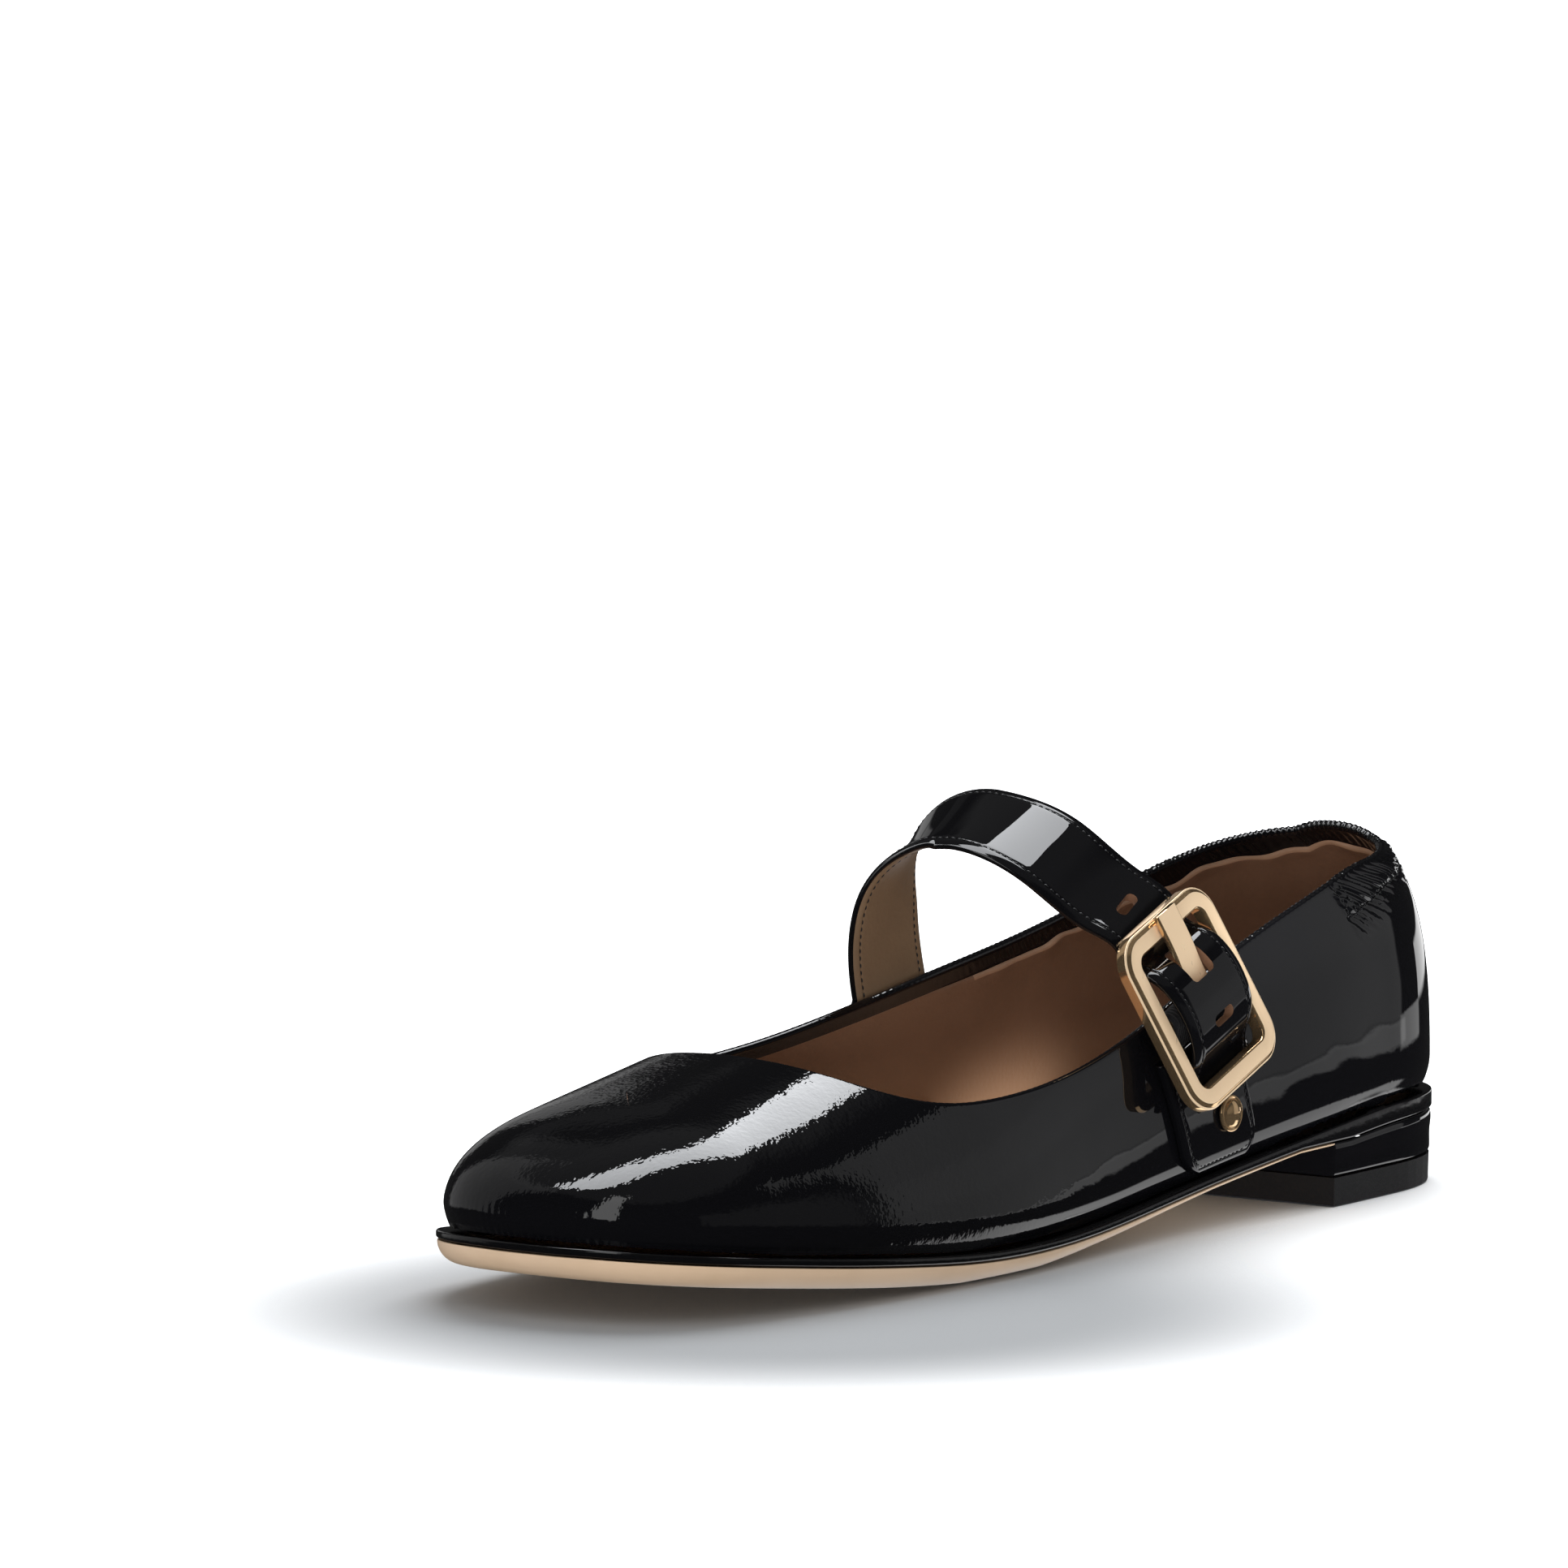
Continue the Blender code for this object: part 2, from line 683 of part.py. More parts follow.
def strap_skin(across=5):
    """The strap's middle surface, lying on the wall where it passes it."""
    places, tilts, runs = strap_path()
    tangent = unit(np.gradient(places, axis=0))
    turn = math.radians(BUCKLE_TURN)
    side = np.stack([np.cos(tilts), np.full_like(tilts, math.sin(turn)), np.sin(tilts)], 1)
    side[:len(places) // 2, 1] = 0
    side = unit(side - tangent * np.sum(side * tangent, axis=1, keepdims=True))
    share = np.linspace(-0.5, 0.5, across + 1) * STRAP_WIDTH
    skin = places[:, None] + side[:, None] * share[None, :, None]
    u, z = MID_U - skin[..., 0], skin[..., 2]
    wall = wall_y(u, np.minimum(z, ridge(u) - 0.5), MEDIAL) + GAP + STRAP / 2 - MID_Y
    reach = np.where(z < topline(u, MEDIAL) + 2, wall, -np.inf)
    on_inner_side = skin[..., 1] > 0
    skin[..., 1] = np.where(on_inner_side, np.maximum(skin[..., 1], reach), skin[..., 1])
    return skin, side, tangent, runs


def make_strap(material):
    skin, side, tangent, runs = strap_skin()
    rows, columns = skin.shape[:2]
    points, faces = thicken(skin.reshape(-1, 3), grid_faces(rows, columns), STRAP / 2, STRAP / 2)
    strap = add_solid("strap", points, faces, material)
    for number, (up, width, length) in enumerate(HOLES):
        at = -up
        centre = np.array([np.interp(at, runs, skin[:, columns // 2, i] / 2 + skin[:, (columns - 1) // 2, i] / 2)
                           for i in range(3)])
        along_strap = unit([np.interp(at, runs, tangent[:, i]) for i in range(3)])
        across_strap = unit([np.interp(at, runs, side[:, i]) for i in range(3)])
        through = np.cross(along_strap, across_strap)
        hole = rounded_rectangle(width, length, 1.09, corner=4)
        loops = [centre + hole[:, :1] * across_strap + hole[:, 1:] * along_strap + through * depth
                 for depth in (-STRAP, STRAP)]
        cut_away(strap, f"strap_hole_{number + 1}", *closed_loops(loops, capped=True))


def make_tab(material):
    """The patent tab on the outer wall that carries the buckle's elastic."""
    rows, columns = 14, 9
    rise = np.concatenate([TAB_ROUND * (1 - np.cos(np.linspace(0, math.pi / 2, 6))), np.linspace(8, 27, rows - 6)])
    corner = np.clip(TAB_ROUND - rise, 0, None)
    half = TAB_WIDTH / 2 - TAB_ROUND + np.sqrt(TAB_ROUND ** 2 - corner ** 2)
    u = TAB_AT + TAB_LEAN * rise[:, None] + half[:, None] * np.linspace(-1, 1, columns)[None]
    low = seat(u) + TAB_ABOVE_SOLE
    high = topline(u, LATERAL) - TAB_BELOW_TOPLINE
    z = low + (high - low) * (rise / rise[-1])[:, None]
    y = wall_y(u, z, LATERAL) - GAP
    skin = shoe(u, y, z).reshape(-1, 3)
    faces = grid_faces(rows, columns)
    points, faces = thicken(skin, faces, TAB)
    add_solid("buckle_tab", points, faces, material)


def make_elastic(material):
    """Woven elastic folded over the buckle's pin, open in the middle for the prong."""
    fold = PIN_RADIUS + PIN_ROOM + ELASTIC / 2
    path = [(ELASTIC_FOOT[0], ELASTIC_FOOT[1] + ELASTIC * 0.65)]
    for angle in np.linspace(-0.6, math.pi + 0.2, 10):
        path.append((-fold * math.sin(angle), PIN_OUT + fold * math.cos(angle)))
    path.append((ELASTIC_FOOT[0], ELASTIC_FOOT[1] - ELASTIC * 0.65))
    path = np.array(path)
    columns = 5
    wide = np.linspace(-ELASTIC_WIDTH / 2, ELASTIC_WIDTH / 2, columns)
    skin = from_buckle(wide[None, :], path[:, :1], path[:, 1:]).reshape(-1, 3)
    points, faces = thicken(skin, grid_faces(len(path), columns), ELASTIC / 2, ELASTIC / 2)
    elastic = add_solid("elastic_loop", points, faces, material)
    edge = PRONG_WIDTH / 2 + GAP
    notch = np.array([(-edge, -4.0), (edge, -4.0), (edge, 3.4), (-edge, 3.4)])
    loops = [from_buckle(notch[:, 0], notch[:, 1], out) for out in (-4.0, 4.0)]
    cut_away(elastic, "elastic_gap", *closed_loops(loops, capped=True))


def make_stud(material):
    """A plain domed stud on the tab."""
    u, z = STUD_AT
    step = 0.5
    base = shoe(u, wall_y(u, z, LATERAL) - GAP - TAB, z)
    ahead = shoe(u - step, wall_y(u - step, z, LATERAL) - GAP - TAB, z) - base
    above = shoe(u, wall_y(u, z + step, LATERAL) - GAP - TAB, z + step) - base
    across, up = unit(ahead), unit(above)
    out = unit(np.cross(across, up))
    if out[1] > 0:
        out = -out
    angles = np.arange(20) * 2 * math.pi / 20
    loops = []
    for radius, height in ((0.92, 0.35), (1.0, 0.6), (1.0, 0.95), (0.9, 1.25), (0.65, 1.55), (0.3, 1.75)):
        circle = np.cos(angles)[:, None] * across + np.sin(angles)[:, None] * up
        loops.append(base + circle * radius * STUD_RADIUS + out * height / 1.75 * STUD_HEIGHT)
    points, faces = closed_loops(loops, capped=True)
    add_solid("stud", points, faces, material)


def clear_scene():
    for thing in list(bpy.data.objects):
        bpy.data.objects.remove(thing, do_unlink=True)


def main():
    clear_scene()
    patent = leather_like("patent_leather", (0.008, 0.008, 0.009), 0.12)
    tan = leather_like("tan_leather", (0.72, 0.49, 0.30), 0.55)
    lining = leather_like("lining_leather", (0.46, 0.30, 0.17), 0.6)
    edge = leather_like("edge_paint", (0.01, 0.01, 0.01), 0.3)
    rubber = leather_like("rubber", (0.02, 0.02, 0.022), 0.7)
    make_outsole(tan)
    make_rand(edge)
    make_heel(patent, rubber)
    make_upper(patent)
    make_insole(lining)
    gold = leather_like("pale_gold", (0.83, 0.62, 0.40), 0.25, metallic=1.0)
    webbing = leather_like("elastic_webbing", (0.012, 0.012, 0.013), 0.9)
    make_strap(patent)
    make_tab(patent)
    make_elastic(webbing)
    make_buckle(gold)
    make_prong(gold)
    make_stud(gold)


main()
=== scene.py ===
"""Looks for a ballet flat: patent leather, lining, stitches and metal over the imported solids.

Shoe measures are in millimetres: u runs forward from the back of the heel, y towards the
inner side of the foot, z up. The model has its heel at +X and its outer side at -Y.
"""
import math

import bpy
import numpy as np
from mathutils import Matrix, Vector


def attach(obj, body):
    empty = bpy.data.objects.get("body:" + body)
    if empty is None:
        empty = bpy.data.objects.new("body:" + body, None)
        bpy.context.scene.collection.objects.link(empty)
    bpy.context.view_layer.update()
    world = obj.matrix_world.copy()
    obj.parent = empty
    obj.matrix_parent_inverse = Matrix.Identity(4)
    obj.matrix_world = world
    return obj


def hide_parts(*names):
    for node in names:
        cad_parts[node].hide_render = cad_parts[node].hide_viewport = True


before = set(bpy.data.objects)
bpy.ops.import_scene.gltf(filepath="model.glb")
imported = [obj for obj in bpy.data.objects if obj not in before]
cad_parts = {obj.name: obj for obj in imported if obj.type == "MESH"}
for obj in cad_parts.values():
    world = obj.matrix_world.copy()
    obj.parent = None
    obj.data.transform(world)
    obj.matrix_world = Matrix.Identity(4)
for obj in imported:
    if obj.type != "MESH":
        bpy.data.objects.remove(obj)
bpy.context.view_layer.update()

MM = 0.001
LATERAL, MEDIAL = -1, 1

# The last, with the same measures as the solids.
LENGTH = 248.8
TOE_CAP = 29.2
TOE_POWER = 2.6
HEEL_CAP = 30.0
HEEL_POWER = 2.2
THROAT = 194.5
MID_U = 124.5
MID_Y = -0.4
WIDTH = [  # u, lateral, medial
    (0, 26.0, 20.5),
    (25, 26.0, 23.0),
    (45, 28.0, 24.5),
    (70, 29.0, 23.5),
    (100, 30.0, 21.5),
    (130, 33.0, 24.5),
    (160, 36.5, 32.5),
    (178, 37.0, 36.0),
    (200, 36.5, 36.0),
    (225, 33.5, 32.5),
    (248, 31.5, 27.0),
]
SECTION = [  # u, height where the upper meets the sole, height of the ridge, fullness of the section
    (0, 16.8, 66.0, 3.2),
    (20, 16.8, 68.0, 3.0),
    (40, 15.6, 74.0, 2.75),
    (70, 12.4, 75.5, 2.55),
    (100, 8.6, 67.0, 2.5),
    (130, 5.6, 55.0, 2.4),
    (150, 5.0, 48.5, 2.3),
    (170, 5.4, 44.0, 2.3),
    (190, 6.9, 40.0, 2.3),
    (210, 8.8, 36.0, 2.35),
    (230, 10.9, 31.5, 2.65),
    (248, 12.7, 27.0, 3.1),
]
TOPLINE = [  # u, height of the opening's edge on the lateral side, on the medial side
    (0, 63.5, 63.5),
    (10, 63.0, 63.0),
    (20, 60.5, 61.0),
    (32, 59.0, 58.0),
    (50, 55.5, 53.5),
    (80, 47.0, 48.0),
    (110, 36.5, 44.0),
    (135, 31.0, 39.5),
    (155, 29.5, 35.5),
    (175, 31.0, 33.5),
    (188, 35.5, 35.5),
    (THROAT, 39.0, 39.0),
]
TUCK = 1.6
TUCK_HEIGHT = 6.0
WALL = 1.8
GAP = 0.3
VAMP_SHARE = 15 / 56    # share of the columns that end on the ridge
CROWDING = 0.35         # how much closer the columns' feet stand at the toe and the heel
ROW_CROWDING = 0.4      # how much closer the rows lie at the sole and the opening
CAP_POINTS = 200
SIDE_POINTS = 298


def smooth_curve(table, column, at):
    """Natural cubic spline through one column of a table whose first column is the station."""
    x = np.array([row[0] for row in table], float)
    y = np.array([row[column] for row in table], float)
    at = np.clip(np.asarray(at, float), x[0], x[-1])
    step = np.diff(x)
    count = len(x)
    matrix = np.eye(count)
    right = np.zeros(count)
    for i in range(1, count - 1):
        matrix[i, i - 1:i + 2] = step[i - 1], 2 * (step[i - 1] + step[i]), step[i]
        right[i] = 6 * ((y[i + 1] - y[i]) / step[i] - (y[i] - y[i - 1]) / step[i - 1])
    bend = np.linalg.solve(matrix, right)
    i = np.clip(np.searchsorted(x, at) - 1, 0, count - 2)
    before, after = at - x[i], x[i + 1] - at
    cubic = (bend[i] * after ** 3 + bend[i + 1] * before ** 3) / (6 * step[i])
    first = (y[i] / step[i] - bend[i] * step[i] / 6) * after
    last = (y[i + 1] / step[i] - bend[i + 1] * step[i] / 6) * before
    return cubic + first + last


def straight(table, column, at):
    """Straight lines through one column of a table."""
    return np.interp(at, [row[0] for row in table], [row[column] for row in table])


def unit(vectors):
    vectors = np.asarray(vectors, float)
    return vectors / np.maximum(np.linalg.norm(vectors, axis=-1, keepdims=True), 1e-9)


def smooth_step(low, high, value):
    share = np.clip((np.asarray(value, float) - low) / (high - low), 0, 1)
    return share * share * (3 - 2 * share)


def middle(u):
    return (smooth_curve(WIDTH, 2, u) - smooth_curve(WIDTH, 1, u)) / 2


def half_width(u):
    return (smooth_curve(WIDTH, 2, u) + smooth_curve(WIDTH, 1, u)) / 2


def seat(u):
    return smooth_curve(SECTION, 1, u)


def ridge(u):
    return smooth_curve(SECTION, 2, u)


def fullness(u):
    return smooth_curve(SECTION, 3, u)


def topline(u, side):
    return smooth_curve(TOPLINE, 1 if side == LATERAL else 2, u)


def cap_ends(u):
    toe = np.clip((u - (LENGTH - TOE_CAP)) / TOE_CAP, 0, None)
    heel = np.clip((HEEL_CAP - u) / HEEL_CAP, 0, None)
    return toe, heel


def spread(u, y):
    """0 on the ridge of the last and 1 on its outline, seen from above."""
    across = np.abs((y - middle(u)) / half_width(u))
    toe, heel = cap_ends(u)
    at_toe = (across ** TOE_POWER + toe ** TOE_POWER) ** (1 / TOE_POWER)
    at_heel = (across ** HEEL_POWER + heel ** HEEL_POWER) ** (1 / HEEL_POWER)
    return np.where(toe > 0, at_toe, at_heel)


def last_height(u, y):
    m = fullness(u)
    out = np.clip(spread(u, y), 0, 1)
    return seat(u) + (ridge(u) - seat(u)) * (1 - out ** m) ** (1 / m)


def tuck(u, z):
    """How far the wall is drawn in as it nears the sole."""
    return TUCK * np.clip(1 - (z - seat(u)) / TUCK_HEIGHT, 0, 1) ** 2


def wall_y(u, z, side):
    """Where the last's wall stands at a station and a height."""
    m = fullness(u)
    rise = np.clip((z - seat(u)) / (ridge(u) - seat(u)), 0, 1)
    out = (1 - rise ** m) ** (1 / m)
    toe, heel = cap_ends(u)
    cap = np.clip(out ** HEEL_POWER - heel ** HEEL_POWER, 0, None) ** (1 / HEEL_POWER)
    nose = np.clip(out ** TOE_POWER - toe ** TOE_POWER, 0, None) ** (1 / TOE_POWER)
    return middle(u) + side * half_width(u) * np.where(toe > 0, nose, cap) - side * tuck(u, z)


def distance_run(points):
    """How far along a line of points each of them lies."""
    return np.concatenate([[0], np.cumsum(np.linalg.norm(np.diff(points, axis=0), axis=1))])


def read_at(at, run, values):
    """Rows of values at places along a line, between the rows given for its points."""
    return np.stack([np.interp(at, run, column) for column in np.transpose(values)], -1)


def along(points, shares):
    """Points on a line at shares of its length."""
    run = distance_run(points)
    return read_at(run[-1] * shares, run, points)


def outline(side, shares):
    """Points of the last's outline from the middle of the toe to the middle of the heel."""
    turn = np.linspace(0, np.pi / 2, CAP_POINTS)
    toe_u = LENGTH - TOE_CAP * (1 - np.cos(turn) ** (2 / TOE_POWER))
    heel_u = HEEL_CAP * (1 - np.sin(turn) ** (2 / HEEL_POWER))
    side_u = np.linspace(LENGTH - TOE_CAP, HEEL_CAP, SIDE_POINTS + 2)[1:-1]
    u = np.concatenate([toe_u, side_u, heel_u])
    toe, heel = np.sin(turn) ** (2 / TOE_POWER), np.cos(turn) ** (2 / HEEL_POWER)
    y = middle(u) + side * half_width(u) * np.concatenate([toe, np.ones(SIDE_POINTS), heel])
    return along(np.stack([u, y], 1), shares - CROWDING * np.sin(2 * np.pi * shares) / (2 * np.pi))


def out_of(points, side, distance):
    """An outline moved outwards by a distance."""
    tangent = np.gradient(points, axis=0)
    tangent[0, 0] = tangent[-1, 0] = 0
    normal = unit(np.stack([-tangent[:, 1], tangent[:, 0]], 1)) * -side
    return points + normal * np.reshape(distance, (-1, 1))


def topline_points(side, shares):
    """Points of the opening's edge, seen from above, from the throat to the middle of the heel."""
    part = np.linspace(0, 1, 1200)
    u = THROAT * (1 - part ** 2)
    z = np.minimum(topline(u, side), ridge(u))
    m = fullness(u)
    rise = (z - seat(u)) / (ridge(u) - seat(u))
    out = (1 - rise ** m) ** (1 / m)
    back_u = HEEL_CAP * (1 - out[-1])
    keep = u > back_u
    u, z, out = u[keep], z[keep], out[keep]
    _, heel = cap_ends(u)
    reach = np.clip(out ** HEEL_POWER - heel ** HEEL_POWER, 0, None) ** (1 / HEEL_POWER)
    y = middle(u) + side * half_width(u) * reach
    y[0] = middle(THROAT)
    u, y = np.append(u, back_u), np.append(y, middle(back_u))
    return along(np.stack([u, y], 1), shares + CROWDING * shares * (1 - shares))


def shoe(u, y, z):
    """Shoe measures to model coordinates, still in millimetres."""
    u, y, z = np.broadcast_arrays(np.asarray(u, float), y, z)
    return np.stack([MID_U - u, y - MID_Y, z], -1)


# ---------------------------------------------------------------- meshes

def grid_faces(rows, columns, start=0, closed=False):
    """Quads of a grid of points; closed joins the last row to the first."""
    a = np.arange(rows * columns).reshape(rows, columns) + start
    b = np.roll(a, -1, 0) if closed else a[1:]
    a = a if closed else a[:-1]
    return np.stack([a[:, :-1], a[:, 1:], b[:, 1:], b[:, :-1]], -1).reshape(-1, 4)


def point_normals(points, faces):
    a, b, c, d = (points[faces[:, i]] for i in range(4))
    normal = np.cross(c - a, d - b)
    total = np.zeros_like(points)
    for i in range(4):
        np.add.at(total, faces[:, i], normal)
    return unit(total)


def same_places(points, near):
    """The first of each set of points that lie on one another, and the set that each point is in."""
    keys = np.round(points / near).astype(np.int64)
    _, first, index = np.unique(keys, axis=0, return_index=True, return_inverse=True)
    return first, index.reshape(-1)


def weld(points, faces, near=0.004):
    first, index = same_places(points, near)
    return points[first], index[faces]


def put(name, data):
    """A new object in the scene."""
    thing = bpy.data.objects.new(name, data)
    bpy.context.scene.collection.objects.link(thing)
    return thing


def new_mesh(name, points, faces, materials):
    mesh = bpy.data.meshes.new(name)
    mesh.from_pydata(np.asarray(points).tolist(), [], [[int(i) for i in face] for face in faces])
    for material in materials:
        mesh.materials.append(material)
    return mesh


def add_mesh(name, points, faces, materials, kinds=None, sharp=None):
    """A smooth shaded piece; kinds gives each face its material."""
    clean, keep = [], []
    for number, face in enumerate(faces):
        face = [a for i, a in enumerate(face) if a != face[i - 1]]
        if len(set(face)) >= 3:
            clean.append(face)
            keep.append(number)
    mesh = new_mesh(name, np.asarray(points) * MM, clean, materials)
    if kinds is not None:
        mesh.polygons.foreach_set("material_index", np.asarray(kinds)[keep].astype(np.int32))
    mesh.polygons.foreach_set("use_smooth", np.ones(len(mesh.polygons), bool))
    mesh.validate()
    if sharp:
        mesh.set_sharp_from_angle(angle=math.radians(sharp))
    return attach(put(name, mesh), "root")


def facing(points, faces, outwards):
    """Turn the faces of a skin so that its normals agree with a direction for each point."""
    normals = point_normals(points, faces)
    if np.sum(normals * outwards) < 0:
        return faces[:, ::-1]
    return faces


STITCH_SHARE = 0.72     # length of a stitch, of the distance from one to the next
STITCH_RADIUS = 0.16
STITCH_SUNK = 0.03
STITCH_REACH = np.array([-1, -0.85, -0.45, 0, 0.45, 0.85, 1])
STITCH_SIDES = 7


def stitches(name, path, out, pitch=1.3):
    """Separate stitches along a line of points, each an arched thread whose ends dip in."""
    run = distance_run(path)
    count = max(int(run[-1] / pitch), 1)
    centres = (np.arange(count) + 0.5) * run[-1] / count
    at = centres[:, None] + STITCH_REACH * pitch * STITCH_SHARE / 2
    places = read_at(at, run, path)
    up = unit(read_at(at, run, out))
    across = unit(np.cross(up, unit(places[:, -1:] - places[:, :1])))
    places = places + up * (STITCH_RADIUS * (0.6 - 1.1 * STITCH_REACH ** 4) - STITCH_SUNK)[None, :, None]
    thick = STITCH_RADIUS * np.sqrt(1.02 - STITCH_REACH ** 2)
    angles = np.arange(STITCH_SIDES)[:, None] * 2 * math.pi / STITCH_SIDES
    rings = places[:, :, None] + thick[None, :, None, None] * (
        across[:, :, None] * np.cos(angles) + up[:, :, None] * np.sin(angles))
    ring = np.arange(len(STITCH_REACH) * STITCH_SIDES).reshape(-1, STITCH_SIDES)
    beside = np.roll(ring, -1, 1)
    one = np.stack([ring[:-1], beside[:-1], beside[1:], ring[1:]], -1).reshape(-1, 4)
    faces = (one[None] + np.arange(count)[:, None, None] * ring.size).reshape(-1, 4)
    piece = add_mesh(name, rings.reshape(-1, 3), faces, [stitch_thread])


# ---------------------------------------------------------------- materials

class Wire:
    """The output of a shader node, which takes part in arithmetic."""

    def __init__(self, nodes, socket):
        self.nodes = nodes
        self.socket = socket

    def math(self, operation, *values):
        return self.nodes.make("ShaderNodeMath", {"operation": operation}, dict(enumerate(values)))

    def __add__(self, other):
        return self.math("ADD", self, other)

    __radd__ = __add__

    def __sub__(self, other):
        return self.math("SUBTRACT", self, other)

    def __rsub__(self, other):
        return self.math("SUBTRACT", other, self)

    def __mul__(self, other):
        return self.math("MULTIPLY", self, other)

    __rmul__ = __mul__

    def __truediv__(self, other):
        return self.math("DIVIDE", self, other)

    def __pow__(self, other):
        return self.math("POWER", self, other)

    def clamp(self, low, high):
        settings = {"interpolation_type": "SMOOTHSTEP"}
        return self.nodes.make("ShaderNodeMapRange", settings, {0: self, 1: low, 2: high})


class Finish:
    """A material with one Principled shader and the nodes that vary it over the surface."""

    def __init__(self, name, colour, roughness, metallic=0.0, **constants):
        self.material = bpy.data.materials.new(name)
        self.material.use_nodes = True
        self.tree = self.material.node_tree
        self.shader = self.tree.nodes["Principled BSDF"]
        self.set(Base_Color=(*colour, 1), Roughness=roughness, Metallic=metallic, **constants)
        self.material.diffuse_color = (*colour, 1)
        self.place = self.make("ShaderNodeTexCoord", {}, {}, "Object")

    def make(self, kind, settings, sockets, output=0):
        node = self.tree.nodes.new(kind)
        for name, value in settings.items():
            setattr(node, name, value)
        for name, value in sockets.items():
            if isinstance(value, Wire):
                self.tree.links.new(value.socket, node.inputs[name])
            else:
                node.inputs[name].default_value = value
        return Wire(self, node.outputs[output])

    def set(self, **values):
        for name, value in values.items():
            name = name.replace("_", " ")
            if isinstance(value, Wire):
                self.tree.links.new(value.socket, self.shader.inputs[name])
            else:
                self.shader.inputs[name].default_value = value

    def stretched(self, upright):
        sockets = {0: self.place, 1: (1, 1, upright)}
        return self.make("ShaderNodeVectorMath", {"operation": "MULTIPLY"}, sockets)

    def noise(self, scale, detail=3.0, place=None):
        sockets = {"Vector": place or self.place, "Scale": scale, "Detail": detail}
        return self.make("ShaderNodeTexNoise", {}, sockets)

    def cells(self, scale):
        return self.make("ShaderNodeTexVoronoi", {}, {"Vector": self.place, "Scale": scale})

    def blend(self, share, first, second):
        sockets = {0: share}
        for number, colour in ((6, first), (7, second)):
            sockets[number] = colour if isinstance(colour, Wire) else (*colour, 1)
        return self.make("ShaderNodeMix", {"data_type": "RGBA"}, sockets, 2)

    def raise_by(self, height, distance, under=None):
        """Bump: a height from 0 to 1 that stands for a distance in metres."""
        sockets = {"Height": height, "Distance": distance, "Strength": 1.0}
        if under:
            sockets["Normal"] = under
        return self.make("ShaderNodeBump", {}, sockets)


def patent_leather():
    """Black lacquer that mirrors the room; its fine grain is stronger over the toes."""
    finish = Finish("black patent leather", (0.0032, 0.0032, 0.004), 0.01, IOR=1.5)
    forward = finish.make("ShaderNodeSeparateXYZ", {}, {0: finish.place})
    front = 1 - forward.clamp(-0.06, 0.0)
    normal = finish.raise_by(finish.noise(58.0, 1.0), 0.00016)
    normal = finish.raise_by(finish.noise(260.0, 1.0) * (0.12 + 0.88 * front), 0.00004, normal)
    normal = finish.raise_by(finish.noise(1150.0, 1.0) * (0.02 + 0.98 * front), 0.000036, normal)
    finish.set(Normal=normal)
    return finish.material


def tan_leather(name, colour, dark, roughness, painted_light=None):
    """Smooth lining leather; with a colour given for the foot bed it turns lighter there, a painted pool of
    light.
    """
    finish = Finish(name, colour, roughness)
    cloud = finish.noise(38.0, 4.0)
    tone = finish.blend(cloud.clamp(0.35, 0.75), dark, colour)
    # Painted light: below 17 mm the colour turns to the lighter one, fading out by 33 mm, a lit patch painted
    # on the foot of the lining.
    if painted_light:
        height = finish.make("ShaderNodeSeparateXYZ", {}, {0: finish.place}, 2)
        tone = finish.blend(height.clamp(0.017, 0.033), painted_light, tone)
    grain = finish.raise_by(finish.cells(850.0), 0.00005)
    pores = finish.raise_by(finish.noise(2600.0, 2.0), 0.00002, grain)
    finish.set(Base_Color=tone, Roughness=roughness + 0.12 * cloud, Normal=pores)
    return finish.material


def painted_edge():
    finish = Finish("black painted edge", (0.003, 0.003, 0.0035), 0.12)
    finish.set(Normal=finish.raise_by(finish.noise(700.0, 3.0), 0.00004))
    return finish.material


def sole_leather():
    finish = Finish("tan sole leather", (0.72, 0.52, 0.34), 0.42)
    layers = finish.noise(60.0, 3.0, finish.stretched(14))
    cloud = finish.noise(45.0, 4.0)
    tone = finish.blend(cloud.clamp(0.3, 0.8) * 0.6, (0.78, 0.57, 0.39), (0.64, 0.45, 0.28))
    finish.set(Base_Color=tone, Normal=finish.raise_by(layers, 0.00004))
    return finish.material


def rubber():
    finish = Finish("black rubber", (0.008, 0.008, 0.009), 0.62)
    grit = finish.noise(2400.0, 3.0)
    finish.set(Roughness=0.55 + 0.2 * grit, Normal=finish.raise_by(grit, 0.00005))
    return finish.material


def gold(name, colour, roughness, metallic, brushed):
    finish = Finish(name, colour, roughness, metallic)
    scratches = finish.noise(900.0, 3.0, finish.stretched(0.25))
    finish.set(Roughness=roughness * (0.8 + 0.4 * scratches), Normal=finish.raise_by(scratches, brushed))
    return finish.material


def webbing():
    finish = Finish("black ribbed elastic", (0.006, 0.006, 0.007), 0.9, Sheen_Weight=0.1)
    finish.set(Normal=finish.raise_by(finish.noise(3200.0), 0.0001))
    return finish.material


def thread():
    finish = Finish("black waxed thread", (0.013, 0.013, 0.014), 0.38)
    finish.set(Normal=finish.raise_by(finish.noise(2600.0, 1.0), 0.00008))
    return finish.material


patent = patent_leather()
# The lining's tan is partly its own and partly darkened as painted shade inside the shoe; the lighter colour
# for its foot is painted light.
lining = tan_leather("tan lining leather", (0.215, 0.115, 0.069), (0.18, 0.095, 0.055), 0.45,
                     painted_light=(0.40, 0.24, 0.145))
